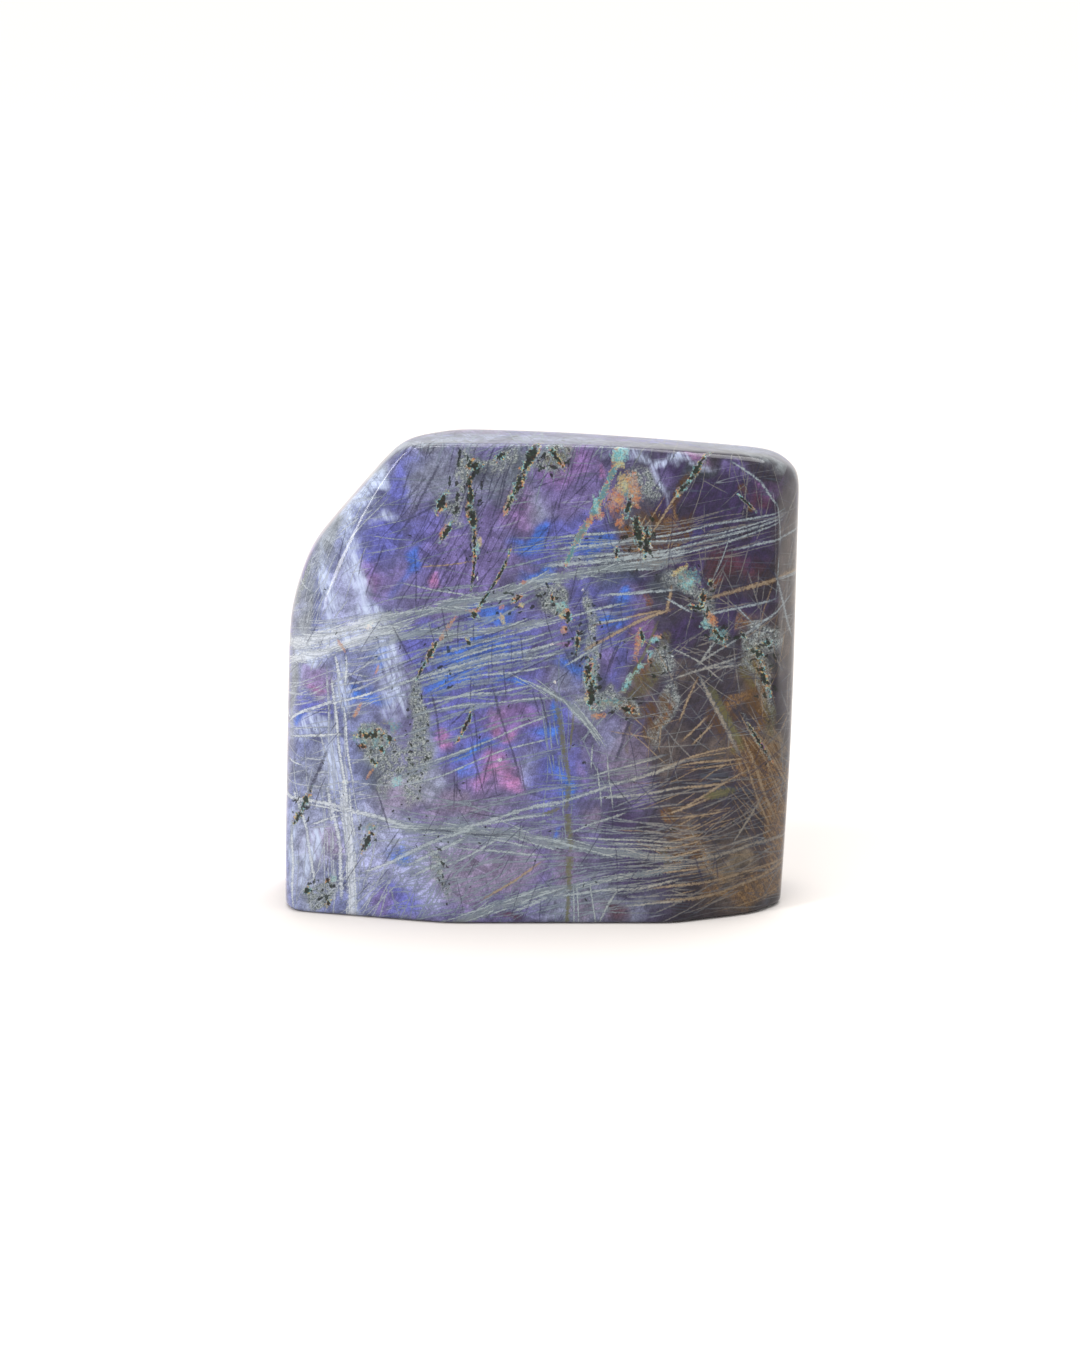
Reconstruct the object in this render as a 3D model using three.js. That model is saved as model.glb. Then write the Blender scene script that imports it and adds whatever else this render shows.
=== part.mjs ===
// A polished labradorite freeform that stands upright on its sawn, flat foot.
//
// The stone is one solid piece, ground into a slab: a broad front flat that leans back a
// little, a second front flat turned to the left, a slanted upper left shoulder, a top that
// falls slightly to the right, and narrow bevels all round. The polish rounds every ridge
// between two flats.
//
// Frame: millimetres, +X to the right, +Y to the back, +Z up, with the origin in the middle
// of the foot.

import * as THREE from 'three';
import { ConvexGeometry } from 'three/addons/geometries/ConvexGeometry.js';
import { mergeVertices } from 'three/addons/utils/BufferGeometryUtils.js';

// Driving dimensions
const WIDTH = 92;
const DEPTH = 36;
const HEIGHT = 84;

// Radius that the polish has left on the ridges and round the foot
const RIDGE_RADIUS = 1.8;
// How often the faces of an icosahedron are divided to give the ridges their rounding
const ROUNDING_DETAIL = 6;

const LEFT_END = -WIDTH / 2;
const RIGHT_END = WIDTH / 2;
const FRONT_FOOT = -DEPTH / 2;
const BACK_FOOT = DEPTH / 2;

// The ground flats: which way each one faces, and a point that it passes through
const FLATS = {
  foot: { facing: [0, 0, -1], through: [0, 0, 0] },

  front: { facing: [0, -1, 0.083], through: [0, FRONT_FOOT, 0] },
  frontLeft: { facing: [-0.254, -0.967, 0.03], through: [-17.9, -17.5, 5.8] },
  frontRightFoot: { facing: [0.37, -0.93, -0.09], through: [24.5, -17.2, 0] },
  rightFoot: { facing: [0.76, -0.64, -0.12], through: [37.4, -12, 0] },
  leftFoot: { facing: [-0.8, -0.58, -0.12], through: [-43.6, -11.2, 0] },

  leftBevel: { facing: [-0.856, -0.503, 0.116], through: [-43.1, -10.2, 28.2] },
  middleLeftBevel: { facing: [-0.759, -0.584, 0.287], through: [-38.9, -10.5, 56] },
  upperLeftBevel: { facing: [-0.566, -0.711, 0.418], through: [-31, -12, 71.9] },
  topRightBevel: { facing: [0.146, -0.879, 0.454], through: [20.1, -11, 83.9] },
  cornerBevel: { facing: [0.62, -0.62, 0.48], through: [41.4, -10.5, 76] },
  rightBevel: { facing: [0.883, -0.467, 0.047], through: [40.2, -11.8, 74.8] },

  left: { facing: [-1, 0, 0.02], through: [LEFT_END + 0.2, 0, 0] },
  leftShoulder: { facing: [-0.945, 0, 0.325], through: [-43.2, 0, 57] },
  upperLeft: { facing: [-0.77, 0, 0.638], through: [-31, 5, 75.9] },
  topLeft: { facing: [-0.42, 0, 0.91], through: [-26.5, 4, 82.6] },
  top: { facing: [0.01, 0, 1], through: [-10, 4, HEIGHT] },
  topRight: { facing: [0.096, 0.05, 1], through: [25, 0, HEIGHT - 1.7] },
  corner: { facing: [0.62, 0, 0.78], through: [42.6, 2, 79.2] },
  right: { facing: [1, 0.06, -0.036], through: [RIGHT_END - 0.9, 0, 78] },

  back: { facing: [0.03, 1, 0.12], through: [0, BACK_FOOT, 0] },
  backLeft: { facing: [-0.5, 0.85, 0.15], through: [-38, 11.5, 30] },
  backRight: { facing: [0.52, 0.85, 0.08], through: [37, 12.5, 30] },
  backShoulder: { facing: [-0.5, 0.62, 0.6], through: [-33, 6.5, 68] },
  backTop: { facing: [0.05, 0.7, 0.7], through: [0, 7, 81.5] },
};

// A flat as a plane moved into the stone by the ridge radius
function innerPlane({ facing, through }) {
  const normal = new THREE.Vector3(...facing).normalize();
  const plane = new THREE.Plane();
  plane.setFromNormalAndCoplanarPoint(normal, new THREE.Vector3(...through));
  plane.constant += RIDGE_RADIUS;
  return plane;
}

// The point that lies on three planes at once, or null where they have none
function meetingPoint(first, second, third) {
  const facings = new THREE.Matrix3().set(
    ...first.normal.toArray(),
    ...second.normal.toArray(),
    ...third.normal.toArray(),
  );
  if (Math.abs(facings.determinant()) < 1e-6) return null;
  const distances = new THREE.Vector3(-first.constant, -second.constant, -third.constant);
  return distances.applyMatrix3(facings.invert());
}

// The corners of the body that all the planes enclose
function enclosedCorners(planes) {
  const corners = [];
  planes.forEach((first, i) => {
    planes.slice(i + 1).forEach((second, j) => {
      planes.slice(i + j + 2).forEach((third) => {
        const point = meetingPoint(first, second, third);
        const inside = point && planes.every((plane) => plane.distanceToPoint(point) < 1e-6);
        if (inside) corners.push(point);
      });
    });
  });
  return corners;
}

// The ways in which the rounding bulges: evenly all round, and squarely at every flat
function roundingDirections(planes) {
  const ball = new THREE.IcosahedronGeometry(1, ROUNDING_DETAIL);
  const place = ball.getAttribute('position');
  const directions = planes.map((plane) => plane.normal);
  for (let i = 0; i < place.count; i++) {
    directions.push(new THREE.Vector3().fromBufferAttribute(place, i));
  }
  return directions;
}

// The smallest convex body round a ball at every inner corner has the flats where they
// were ground and a round ridge between each two of them
function stoneGeometry() {
  const planes = Object.values(FLATS).map(innerPlane);
  const directions = roundingDirections(planes);
  const points = enclosedCorners(planes).flatMap((corner) =>
    directions.map((direction) => corner.clone().addScaledVector(direction, RIDGE_RADIUS)),
  );
  const hull = new ConvexGeometry(points);
  hull.deleteAttribute('normal');
  const geometry = mergeVertices(hull, 1e-5);
  geometry.computeBoundingBox();
  const { min, max } = geometry.boundingBox;
  geometry.translate(-(min.x + max.x) / 2, -(min.y + max.y) / 2, -min.z);
  geometry.computeVertexNormals();
  return geometry;
}

const labradorite = new THREE.MeshStandardMaterial({
  color: new THREE.Color(0.23, 0.22, 0.33),
  roughness: 0.12,
  metalness: 0,
});

const stone = new THREE.Mesh(stoneGeometry(), labradorite);
stone.name = 'stone';

const model = new THREE.Group();
model.add(stone);

export default model;
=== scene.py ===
# A polished labradorite freeform on a plain pale floor.

import math

import bpy
import numpy as np
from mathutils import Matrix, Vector
from mathutils.kdtree import KDTree


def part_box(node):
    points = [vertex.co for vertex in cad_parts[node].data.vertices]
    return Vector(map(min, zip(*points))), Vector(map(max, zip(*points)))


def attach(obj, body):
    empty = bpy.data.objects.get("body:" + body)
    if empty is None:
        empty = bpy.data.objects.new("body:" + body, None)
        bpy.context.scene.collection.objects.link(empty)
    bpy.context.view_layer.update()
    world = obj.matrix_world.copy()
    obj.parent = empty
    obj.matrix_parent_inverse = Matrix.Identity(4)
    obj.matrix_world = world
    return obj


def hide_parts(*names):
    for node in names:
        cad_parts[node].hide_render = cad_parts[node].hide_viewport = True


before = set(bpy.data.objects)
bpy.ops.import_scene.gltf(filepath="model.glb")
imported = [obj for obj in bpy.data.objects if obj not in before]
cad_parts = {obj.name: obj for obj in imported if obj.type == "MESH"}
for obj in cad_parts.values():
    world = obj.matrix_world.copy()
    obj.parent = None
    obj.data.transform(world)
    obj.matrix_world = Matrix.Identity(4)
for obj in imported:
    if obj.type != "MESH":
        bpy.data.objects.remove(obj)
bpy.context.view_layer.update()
STONE_LOW, STONE_HIGH = (Vector(corner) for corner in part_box("stone"))

MM = 0.001

# Driving dimensions of the ground stone, in millimetres
DEPTH = 36.0
HEIGHT = 84.0
LEFT_END = -46.0
RIGHT_END = 46.0
FRONT_FOOT = -DEPTH / 2
BACK_FOOT = DEPTH / 2
MIDDLE = np.array([0.0, 0.0, 41.0])

# A high value gives crisp ridges between the flats, a low one gives soft ones
RIDGE_CRISPNESS = 60.0
FOOT_EASE = 1.1
WAVE_HEIGHT = 0.05

# The ground flats: which way each one faces, and a point that it passes through
FLATS = {
    "front": ((0, -1, 0.083), (0, FRONT_FOOT, 0)),
    "front_left": ((-0.254, -0.967, 0.03), (-17.9, -17.5, 5.8)),
    "front_right_foot": ((0.37, -0.93, -0.09), (24.5, -17.2, 0)),
    "right_foot": ((0.76, -0.64, -0.12), (37.4, -12, 0)),
    "left_foot": ((-0.8, -0.58, -0.12), (-43.6, -11.2, 0)),
    "left_bevel": ((-0.856, -0.503, 0.116), (-43.1, -10.2, 28.2)),
    "middle_left_bevel": ((-0.759, -0.584, 0.287), (-38.9, -10.5, 56)),
    "upper_left_bevel": ((-0.566, -0.711, 0.418), (-31, -12, 71.9)),
    "top_right_bevel": ((0.146, -0.879, 0.454), (20.1, -11, 83.9)),
    "corner_bevel": ((0.62, -0.62, 0.48), (41.4, -10.5, 76)),
    "right_bevel": ((0.883, -0.467, 0.047), (40.2, -11.8, 74.8)),
    "left": ((-1, 0, 0.02), (LEFT_END + 0.2, 0, 0)),
    "left_shoulder": ((-0.945, 0, 0.325), (-43.2, 0, 57)),
    "upper_left": ((-0.77, 0, 0.638), (-31, 5, 75.9)),
    "top_left": ((-0.42, 0, 0.91), (-26.5, 4, 82.6)),
    "top": ((0.01, 0, 1), (-10, 4, HEIGHT)),
    "top_right": ((0.096, 0.05, 1), (25, 0, HEIGHT - 1.7)),
    "corner": ((0.62, 0, 0.78), (42.6, 2, 79.2)),
    "right": ((1, 0.06, -0.036), (RIGHT_END - 0.9, 0, 78)),
    "back": ((0.03, 1, 0.12), (0, BACK_FOOT, 0)),
    "back_left": ((-0.5, 0.85, 0.15), (-38, 11.5, 30)),
    "back_right": ((0.52, 0.85, 0.08), (37, 12.5, 30)),
    "back_shoulder": ((-0.5, 0.62, 0.6), (-33, 6.5, 68)),
    "back_top": ((0.05, 0.7, 0.7), (0, 7, 81.5)),
}
NORMALS = np.array([facing for facing, through in FLATS.values()], float)
NORMALS /= np.linalg.norm(NORMALS, axis=1, keepdims=True)
POINTS_ON_FLATS = np.array([through for facing, through in FLATS.values()], float)
REACHES = np.sum(NORMALS * (POINTS_ON_FLATS - MIDDLE), axis=1)

# The stone's mesh: a box lattice that is cast outwards on to the ground surface
CELLS = {"across": 176, "deep": 56, "up": 166}
CELL_COUNTS = np.array(list(CELLS.values()))
GATHERING = 0.55
SHEET_LEFT = -28.5
SHEET_RIGHT = 30.4
SHEET_TOP = 62.0


def measure(points):
    """How far out each point is: below 1 inside the stone, 1 on its surface. Also the slope."""
    shares = np.maximum((points - MIDDLE) @ NORMALS.T / REACHES, 0)
    largest = shares.max(axis=1, keepdims=True)
    spread = ((shares / largest) ** RIDGE_CRISPNESS).sum(axis=1, keepdims=True)
    size = largest * spread ** (1 / RIDGE_CRISPNESS)
    slope = ((shares / size) ** (RIDGE_CRISPNESS - 1) / REACHES) @ NORMALS
    return size[:, 0], slope


NEWTON_STEPS = 8
NEARLY_NOTHING = 1e-9


def surface_points(origins, directions):
    """Where rays that start inside the stone leave it, by Newton's method."""
    speeds = directions @ NORMALS.T
    gaps = REACHES - (origins - MIDDLE) @ NORMALS.T
    ahead = speeds > NEARLY_NOTHING
    distances = np.where(ahead, gaps / np.where(ahead, speeds, 1), np.inf).min(axis=1)
    for _ in range(NEWTON_STEPS):
        size, slope = measure(origins + distances[:, None] * directions)
        distances -= (size - 1) / np.sum(slope * directions, axis=1)
    return origins + distances[:, None] * directions


def waviness(points):
    """Slow ripples that hand polishing leaves, in millimetres."""
    x, y, z = points.T
    broad = np.sin(x / 8.5 + 0.6) * np.sin(z / 10.5 + y / 9 + 1.1)
    cross = np.sin((x - z) / 6.2 + y / 7 + 2.3)
    return WAVE_HEIGHT * (broad + 0.5 * cross - 1.5)


def wall_points(across, deep, up):
    """The stone's surface beyond points of a box whose sides run from -1 to 1."""
    targets = np.stack([
        across * RIGHT_END,
        deep * BACK_FOOT,
        (up + 1) / 2 * HEIGHT,
    ], axis=1)
    sheet = np.stack([
        np.clip(targets[:, 0], SHEET_LEFT, SHEET_RIGHT),
        np.zeros(len(targets)),
        np.minimum(targets[:, 2], SHEET_TOP),
    ], axis=1)
    directions = targets - sheet
    directions /= np.linalg.norm(directions, axis=1, keepdims=True)
    points = surface_points(sheet, directions)
    points += waviness(points)[:, None] * directions
    level = directions * (1, 1, 0)
    level /= np.maximum(np.linalg.norm(level, axis=1, keepdims=True), NEARLY_NOTHING)
    low = np.clip(FOOT_EASE - points[:, 2], 0, FOOT_EASE)
    inset = FOOT_EASE - np.sqrt(FOOT_EASE ** 2 - low ** 2)
    return points - inset[:, None] * level


def foot_points(across, deep):
    """The flat foot, a fan from its middle to the lowest ring of the walls."""
    rim = np.maximum(np.abs(across), np.abs(deep))
    points = np.zeros((len(rim), 3))
    outer = rim > 0
    share = rim[outer]
    ring = wall_points(across[outer] / share, deep[outer] / share, np.full(len(share), -1.0))
    points[outer] = ring * share[:, None] * (1, 1, 0)
    return points


def gather(share):
    """Moves evenly spaced lattice lines towards both ends, where the bevels are."""
    turn = math.pi / 2 * GATHERING
    return np.sin(share * turn) / math.sin(turn)


# Where each side of the lattice is laid out on the bake map: left, bottom, width, height
MAP_PLACES = {
    "front": (0.005, 0.355, 0.685, 0.640),
    "back": (0.705, 0.705, 0.290, 0.290),
    "left": (0.705, 0.395, 0.140, 0.300),
    "right": (0.855, 0.395, 0.140, 0.300),
    "top": (0.005, 0.185, 0.685, 0.160),
    "foot": (0.705, 0.240, 0.290, 0.145),
}
# Each side of the lattice: its fixed axis, whether that is at its end, the map's u and v
# axes, and whether u and v turn anticlockwise seen from outside
SIDES = {
    "front": (1, False, 0, 2, True),
    "back": (1, True, 0, 2, False),
    "left": (0, False, 1, 2, False),
    "right": (0, True, 1, 2, True),
    "top": (2, True, 0, 1, True),
    "foot": (2, False, 0, 1, False),
}


def side_cells(side):
    """The lattice corners of every cell on a side, and their places on the bake map."""
    fixed, at_end, u_axis, v_axis, turns_outward = SIDES[side]
    u_index, v_index = np.meshgrid(
        np.arange(CELL_COUNTS[u_axis]), np.arange(CELL_COUNTS[v_axis]), indexing="ij"
    )
    steps = np.array([(0, 0), (1, 0), (1, 1), (0, 1)])
    if not turns_outward:
        steps = steps[::-1]
    u = u_index.reshape(-1, 1) + steps[:, 0]
    v = v_index.reshape(-1, 1) + steps[:, 1]
    corners = np.zeros(u.shape + (3,), int)
    corners[..., fixed] = CELL_COUNTS[fixed] if at_end else 0
    corners[..., u_axis] = u
    corners[..., v_axis] = v
    left, bottom, width, height = MAP_PLACES[side]
    places = np.stack([
        left + width * u / CELL_COUNTS[u_axis],
        bottom + height * v / CELL_COUNTS[v_axis],
    ], axis=-1)
    return corners, places


def lattice_faces():
    """Every cell's lattice corners, its places on the bake map and the name of its side."""
    corners, places, names = [], [], []
    for side in SIDES:
        side_corners, side_places = side_cells(side)
        corners.append(side_corners)
        places.append(side_places)
        names += [side] * len(side_corners)
    return np.concatenate(corners), np.concatenate(places), np.array(names)


def ground_points(lattice):
    """The stone's surface at the given lattice corners, in millimetres."""
    across, deep, up = gather(lattice * 2 / CELL_COUNTS - 1).T
    on_foot = lattice[:, 2] == 0
    points = np.empty(lattice.shape)
    points[on_foot] = foot_points(across[on_foot], deep[on_foot])
    points[~on_foot] = wall_points(across[~on_foot], deep[~on_foot], up[~on_foot])
    return points


def shift_to_cad(points):
    """What moves the stone from its own frame to the middle of its CAD node's box."""
    low, high = points.min(axis=0), points.max(axis=0)
    shift = np.array((STONE_LOW + STONE_HIGH) / 2) / MM - (low + high) / 2
    shift[2] = STONE_LOW.z / MM - low[2]
    return shift


LATTICE_CORNERS, MAP_CORNERS, FACE_SIDES = lattice_faces()
LATTICE, CORNER_INDEX = np.unique(LATTICE_CORNERS.reshape(-1, 3), axis=0, return_inverse=True)
CORNER_INDEX = CORNER_INDEX.reshape(-1, 4)
GROUND = ground_points(LATTICE)
SHIFT = shift_to_cad(GROUND)


def stone_mesh():
    """The stone as a smooth mesh in metres, in the CAD frame, with its bake map."""
    made = bpy.data.meshes.new("polished_stone")
    made.from_pydata(((GROUND + SHIFT) * MM).tolist(), [], CORNER_INDEX.tolist())
    layer = made.uv_layers.new(name="OFBake")
    layer.data.foreach_set("uv", MAP_CORNERS.reshape(-1).astype(np.float32))
    made.shade_smooth()
    made.update()
    return made

# Colours as they look in soft daylight, from 0 to 255
COLOURS = {
    "slate": (140, 146, 166),
    "lavender": (152, 156, 192),
    "blue_violet": (98, 101, 170),
    "blue": (70, 106, 190),
    "violet": (120, 109, 158),
    "magenta": (138, 106, 156),
    "pink": (160, 118, 166),
    "dull_purple": (136, 124, 146),
    "dark_violet": (74, 64, 98),
    "wine": (94, 64, 72),
    "charcoal": (70, 65, 74),
    "grey_brown": (104, 94, 88),
    "tan": (160, 126, 86),
    "umber": (96, 72, 48),
    "rust": (134, 92, 62),
    "olive": (104, 104, 72),
    # The milky colour below is partly the stone's own veil and partly painted reflection of the lamps
    "milky_sheen": (200, 212, 240),
    "grain": (136, 144, 146),
    "vein": (176, 187, 190),
    "vein_left": (214, 220, 226),
    "vein_right": (168, 157, 138),
    "soft_vein": (144, 156, 166),
    "soft_left": (190, 196, 206),
    "soft_right": (142, 132, 120),
    "vein_shade": (84, 94, 108),
    "cloudy": (134, 144, 146),
    "bright_blue": (78, 126, 214),
    "bright_pink": (186, 128, 176),
    "shadow": (66, 66, 84),
    "grit": (78, 84, 86),
    "pale_grit": (196, 200, 196),
    "tan_vein": (168, 150, 126),
    "teal": (90, 128, 134),
    "cyan": (140, 200, 206),
    "cream": (206, 190, 130),
    "orange": (198, 128, 84),
    # The white below is partly white specks and partly painted glints
    "white": (232, 236, 240),
    "black": (24, 26, 24),
    "dark_green": (44, 54, 48),
    "crack": (54, 54, 74),
    "body": (107, 103, 142),
    "left_body": (116, 122, 160),
    "smoke": (80, 88, 94),
    # The bevel grey below is painted sheen, standing in for the bright room reflected in the bevels
    "bevel_sheen": (140, 146, 150),
    "burnt": (84, 64, 46),
    "warm_grey": (152, 138, 118),
}
# The studio brightens every colour by this much, and the polish adds a thin veil of white
STUDIO_GAIN = 1.7
POLISH_VEIL = 0.025

# Patches of colour on the front. Each is x, z, half length, half width and tilt: millimetres
# to the right of the middle and above the foot, and degrees
PATCHES = (
    # The bevel grey patches are painted sheen, standing in for the bright room reflected in the bevels
    ("bevel_sheen", 0.85, (
        (-38.5, 68, 3.4, 12, -28), (-43.5, 54, 3, 10, -12), (-45.5, 40, 2.4, 12, 0),
        (-30, 81, 5, 4, -40), (-20, 86, 12, 3, 0), (40, 83, 7, 2.6, -25), (45, 74, 2.2, 8, 0),
    )),
    ("slate", 0.8, (
        (-40, 25, 6, 5, 20), (-42, 12, 4, 10, 0), (-21, 25, 5, 3.5, -10), (-20, 31, 2.2, 9, 5),
        (8, 38, 3.5, 3, 0), (5, 44, 3, 4, 0), (-6, 78, 8, 4, 30), (-1, 73, 4, 4, 0), (4, 3, 5, 4, 0),
        (-10, 91, 44, 6, 0), (34, 90, 16, 5, 0), (-45, 58, 3, 14, -20), (-41, 6, 4, 8, 0),
        (10, 3, 12, 4, 8), (-20, 79, 9, 5, 20), (-14, 16, 8, 3, 0), (-28, 14, 8, 10, 0),
    )),
    ("lavender", 0.85, (
        (-27, 8, 6, 9, 0), (-20, 8, 6, 7, 0), (-24, 16, 5, 3, 10), (-40, 43, 3.6, 5, 0),
        (-37, 14, 5, 6, 0), (-34, 57, 4, 8, 15), (-2, 28, 3.5, 3, 30), (12, 33, 3, 3, 0),
    )),
    ("blue_violet", 0.9, (
        (-21, 65, 4.5, 4, 60), (0, 66, 5, 4, 0), (-21, 49, 4, 5, 0), (-20, 40, 3, 4, 0),
        (4, 36, 2.5, 4, 0), (6, 28, 2, 5, 0), (1, 10, 3.5, 3.5, 0), (-41, 36, 5, 3, 20),
        (-14, 37, 4, 3, 40), (12, 46, 4, 5, 0), (-26, 3, 4, 4, 0), (8, 58, 6, 3, 10),
        (-25, 77, 3, 6, -30), (-13, 30, 7, 3, 12), (0, 33, 4, 3, 0), (14, 60, 6, 2, 8),
        (-11, 38, 11, 12, 0), (-8, 48, 12, 8, 15), (2, 28, 5, 10, 0), (-18, 66, 9, 8, 0),
        (6, 68, 7, 4, 8), (9, 50, 8, 8, 0), (-28, 66, 4, 8, -20),
    )),
    ("violet", 0.9, (
        (-18, 61.5, 4.5, 3, 60), (-14, 68, 3, 5, -20), (-27, 60, 4, 4, 0), (7, 76, 5, 5, 0),
        (-5, 64, 2.5, 3, 0), (16, 57, 3, 3, 0), (11, 46, 3, 3, 0), (33, 79, 5, 2, -20),
        (-12, 25.5, 3, 2.5, 30), (-13, 5, 0.9, 3, 5), (-0.5, 10, 1.8, 3.5, 0), (20, 79, 4, 4, 0),
        (6.4, 27, 1.2, 3.5, 0), (-28, 3, 2.5, 2.5, 0), (17, 24, 5, 3, 10), (6.5, 10, 1.2, 1.6, 0),
        (-9, 70, 2.5, 5, -20), (26.5, 63, 2, 3, -20), (-14, 64, 12, 9, 50), (6, 77, 10, 6, 0),
    )),
    ("dull_purple", 0.7, (
        (-6, 10, 7.5, 5, 5), (-7, 37.5, 3, 2, 10), (15, 29, 5, 5, 0), (14, 33, 2.5, 3, 0),
        (-9, 8, 3.5, 4, 0), (8, 3, 3, 2.5, 0), (-38.5, 13, 3, 4.5, 0), (8, 19, 2.4, 2.2, 0),
        (-14, 21, 8, 3, 0), (-14, 9, 7, 7, 0), (-25, 22, 6, 4, 0), (4, 10, 5, 5, 0),
    )),
    ("blue", 0.75, (
        (9, 66.5, 5, 2, 5), (-2, 67.5, 4, 2, 20), (-12, 47, 9, 4, 20), (-16, 43, 6, 2, 15),
        (-12, 31, 4, 1.4, 15), (11, 53.5, 3.5, 2.2, 10), (-23, 63, 1.2, 5, -20), (1, 35, 3.5, 2.5, 15),
        (3, 25, 1.4, 4, 20), (-9, 55, 4, 2.4, 20), (3.2, 16, 0.8, 1.4, 0), (5, 46, 2.5, 2, 0),
        (-43, 35, 3, 1.5, 20), (-32, 40, 5, 1.6, 20), (-25, 12, 3, 2, 0), (14, 57, 2, 1.2, 10),
        (-12, 28, 2.5, 1, 20), (27, 69, 4, 1.4, 8), (2, 38, 1.6, 1.6, 0), (-1, 61.5, 3, 1.2, 20),
        (-29, 39.5, 3, 1.2, 20), (-5, 43, 3, 1.2, 10), (-29, 47, 2, 2, 0),
    )),
    ("magenta", 0.65, (
        (5, 81, 6, 3.6, 30), (-4, 73, 3, 4, 0), (-29, 60, 2.5, 3.5, -10), (38, 75, 3, 3, -30),
        (17, 51, 2.4, 4, -20), (-6, 36, 6, 4, 15), (24, 63, 3, 4, 0), (-40, 42.5, 2.5, 3.5, 0),
    )),
    ("pink", 0.8, (
        (-8.5, 27, 4.5, 3.2, 20), (-16.5, 34, 1.8, 1.5, 30), (-5.5, 33.5, 2.4, 1.2, 15),
        (-9, 34.3, 2.2, 0.9, 10), (26, 81, 2.2, 1.8, 0), (-6, 25, 3, 2.4, 0),
        (10.3, 80, 1, 1.6, 0), (3.5, 49.5, 1.4, 0.8, 0), (-18.5, 61, 1.4, 1.8, 60),
        (37.5, 76.3, 1, 0.6, -10), (-17, 32, 2.2, 1, 20), (-39.5, 40.5, 2, 1.6, 0),
    )),
    ("dark_violet", 0.9, (
        (31, 75, 9, 5, 0), (35, 66, 7, 4, 0), (34, 56, 8, 5, 0), (25, 51, 5, 4, 0), (38, 72, 4, 4, 0),
        (17, 8, 7, 5, 0), (25, 64, 4, 5, 0), (28, 70, 6, 5, 0), (20, 73, 3, 5, 0),
        (24, 80, 3, 3, 0), (14, 18, 5, 4, 0), (19, 60, 4, 2, 0),
        (-2, 48, 3, 1.6, 20),
    )),
    ("wine", 0.8, (
        (32, 63, 3.5, 3.5, 0), (38, 73.5, 2.6, 2.2, 0), (30.5, 60.5, 2, 1.4, 0), (35.5, 62, 3, 3, 0),
        (12.5, 2, 2.4, 2, 30), (-6, 1.4, 4, 1, 0),
    )),
    ("charcoal", 0.85, (
        (26, 37, 6, 8, 0), (30, 46, 7, 5, 0), (33, 38, 6, 6, 0), (33, 17, 6, 4, 0), (26, 7, 6, 5, 0),
        (36, 60, 5, 3, 10), (36, 11, 3, 3, 0), (38, 50, 3, 4, 0), (22, 24, 5, 4, 0), (32, 27, 4, 4, 20),
        (20, 17, 5, 3, 0), (43, 72, 3, 5, 0), (19, 10.5, 2.6, 1.4, 10),
    )),
    ("grey_brown", 0.75, (
        (24, 17, 5, 5, 0), (34, 4, 9, 5, 0), (22, 30, 3, 6, 0), (40, 50, 5, 7, 0), (32, 12, 7, 5, 0),
        (24, 44, 3, 3, 0), (43, 62, 3, 12, 0), (36, 42, 4, 5, 0), (31, 31, 5, 3, 20), (17, 42, 3, 6, -30),
    )),
    ("warm_grey", 0.75, (
        (46.5, 52, 2.6, 22, 0), (46.5, 16, 3, 18, 0), (40, 32, 2.4, 5, 20), (33, 10, 5, 2.4, 10),
    )),
    ("smoke", 0.75, (
        (-11, 79, 4, 3, 0), (-4, 79, 3, 4, 0), (-12.5, 72, 1.6, 6, 0), (-17, 74, 3, 2, 40),
        (-28.5, 31, 4, 3, 0), (16.5, 69, 4, 5, 0), (38, 47, 3.4, 4, 0), (28, 57.5, 3, 3, 0),
        (14.5, 38.5, 4, 2, 0), (9, 42, 1.8, 4, 0), (1, 57.5, 3, 2, 0), (-22, 37, 1.8, 8, 0),
        (5.5, 50, 1.2, 4, 0), (26, 79, 2, 4, -40), (31, 51, 3, 2, 0), (20, 46, 1.6, 4, -30),
        (13, 62, 5, 4, 0), (22, 60, 4, 3, 0), (-29, 27, 4, 6, 0),
    )),
)

# Milky haze on the left bevel and along the ridges, as above: partly a milky veil in the stone, and partly
# painted reflection of the left lamp and painted highlights along the ridges
HAZE_AND_SHEEN = (
    (-33.4, 68, 6, 2.4, 95), (-31.8, 60.5, 6, 2.8, 104), (-29.6, 53, 5, 3, 120),
    (-27, 47, 5, 3.2, 118), (-26, 41, 4, 2.8, 104), (-35, 50, 11, 2.8, 13), (-31.6, 75, 8, 2, 60),
    (-37.2, 58, 9, 1.6, 108), (-42, 46.5, 5, 2, 20), (-40, 33.5, 4, 1.8, 10), (-36, 27, 7, 1.6, 98),
    (-29, 77, 3, 1.6, 20), (-27, 71, 2, 1.4, 0), (-35, 41, 2, 5, 0), (20, 81.5, 9, 0.8, -8),
    (-33.6, 9, 12, 1.2, 91), (-40.6, 12, 9, 1, 82),
    (18.8, 79, 5, 0.7, -62), (-44, 10, 10, 0.8, 88),
)

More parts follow.
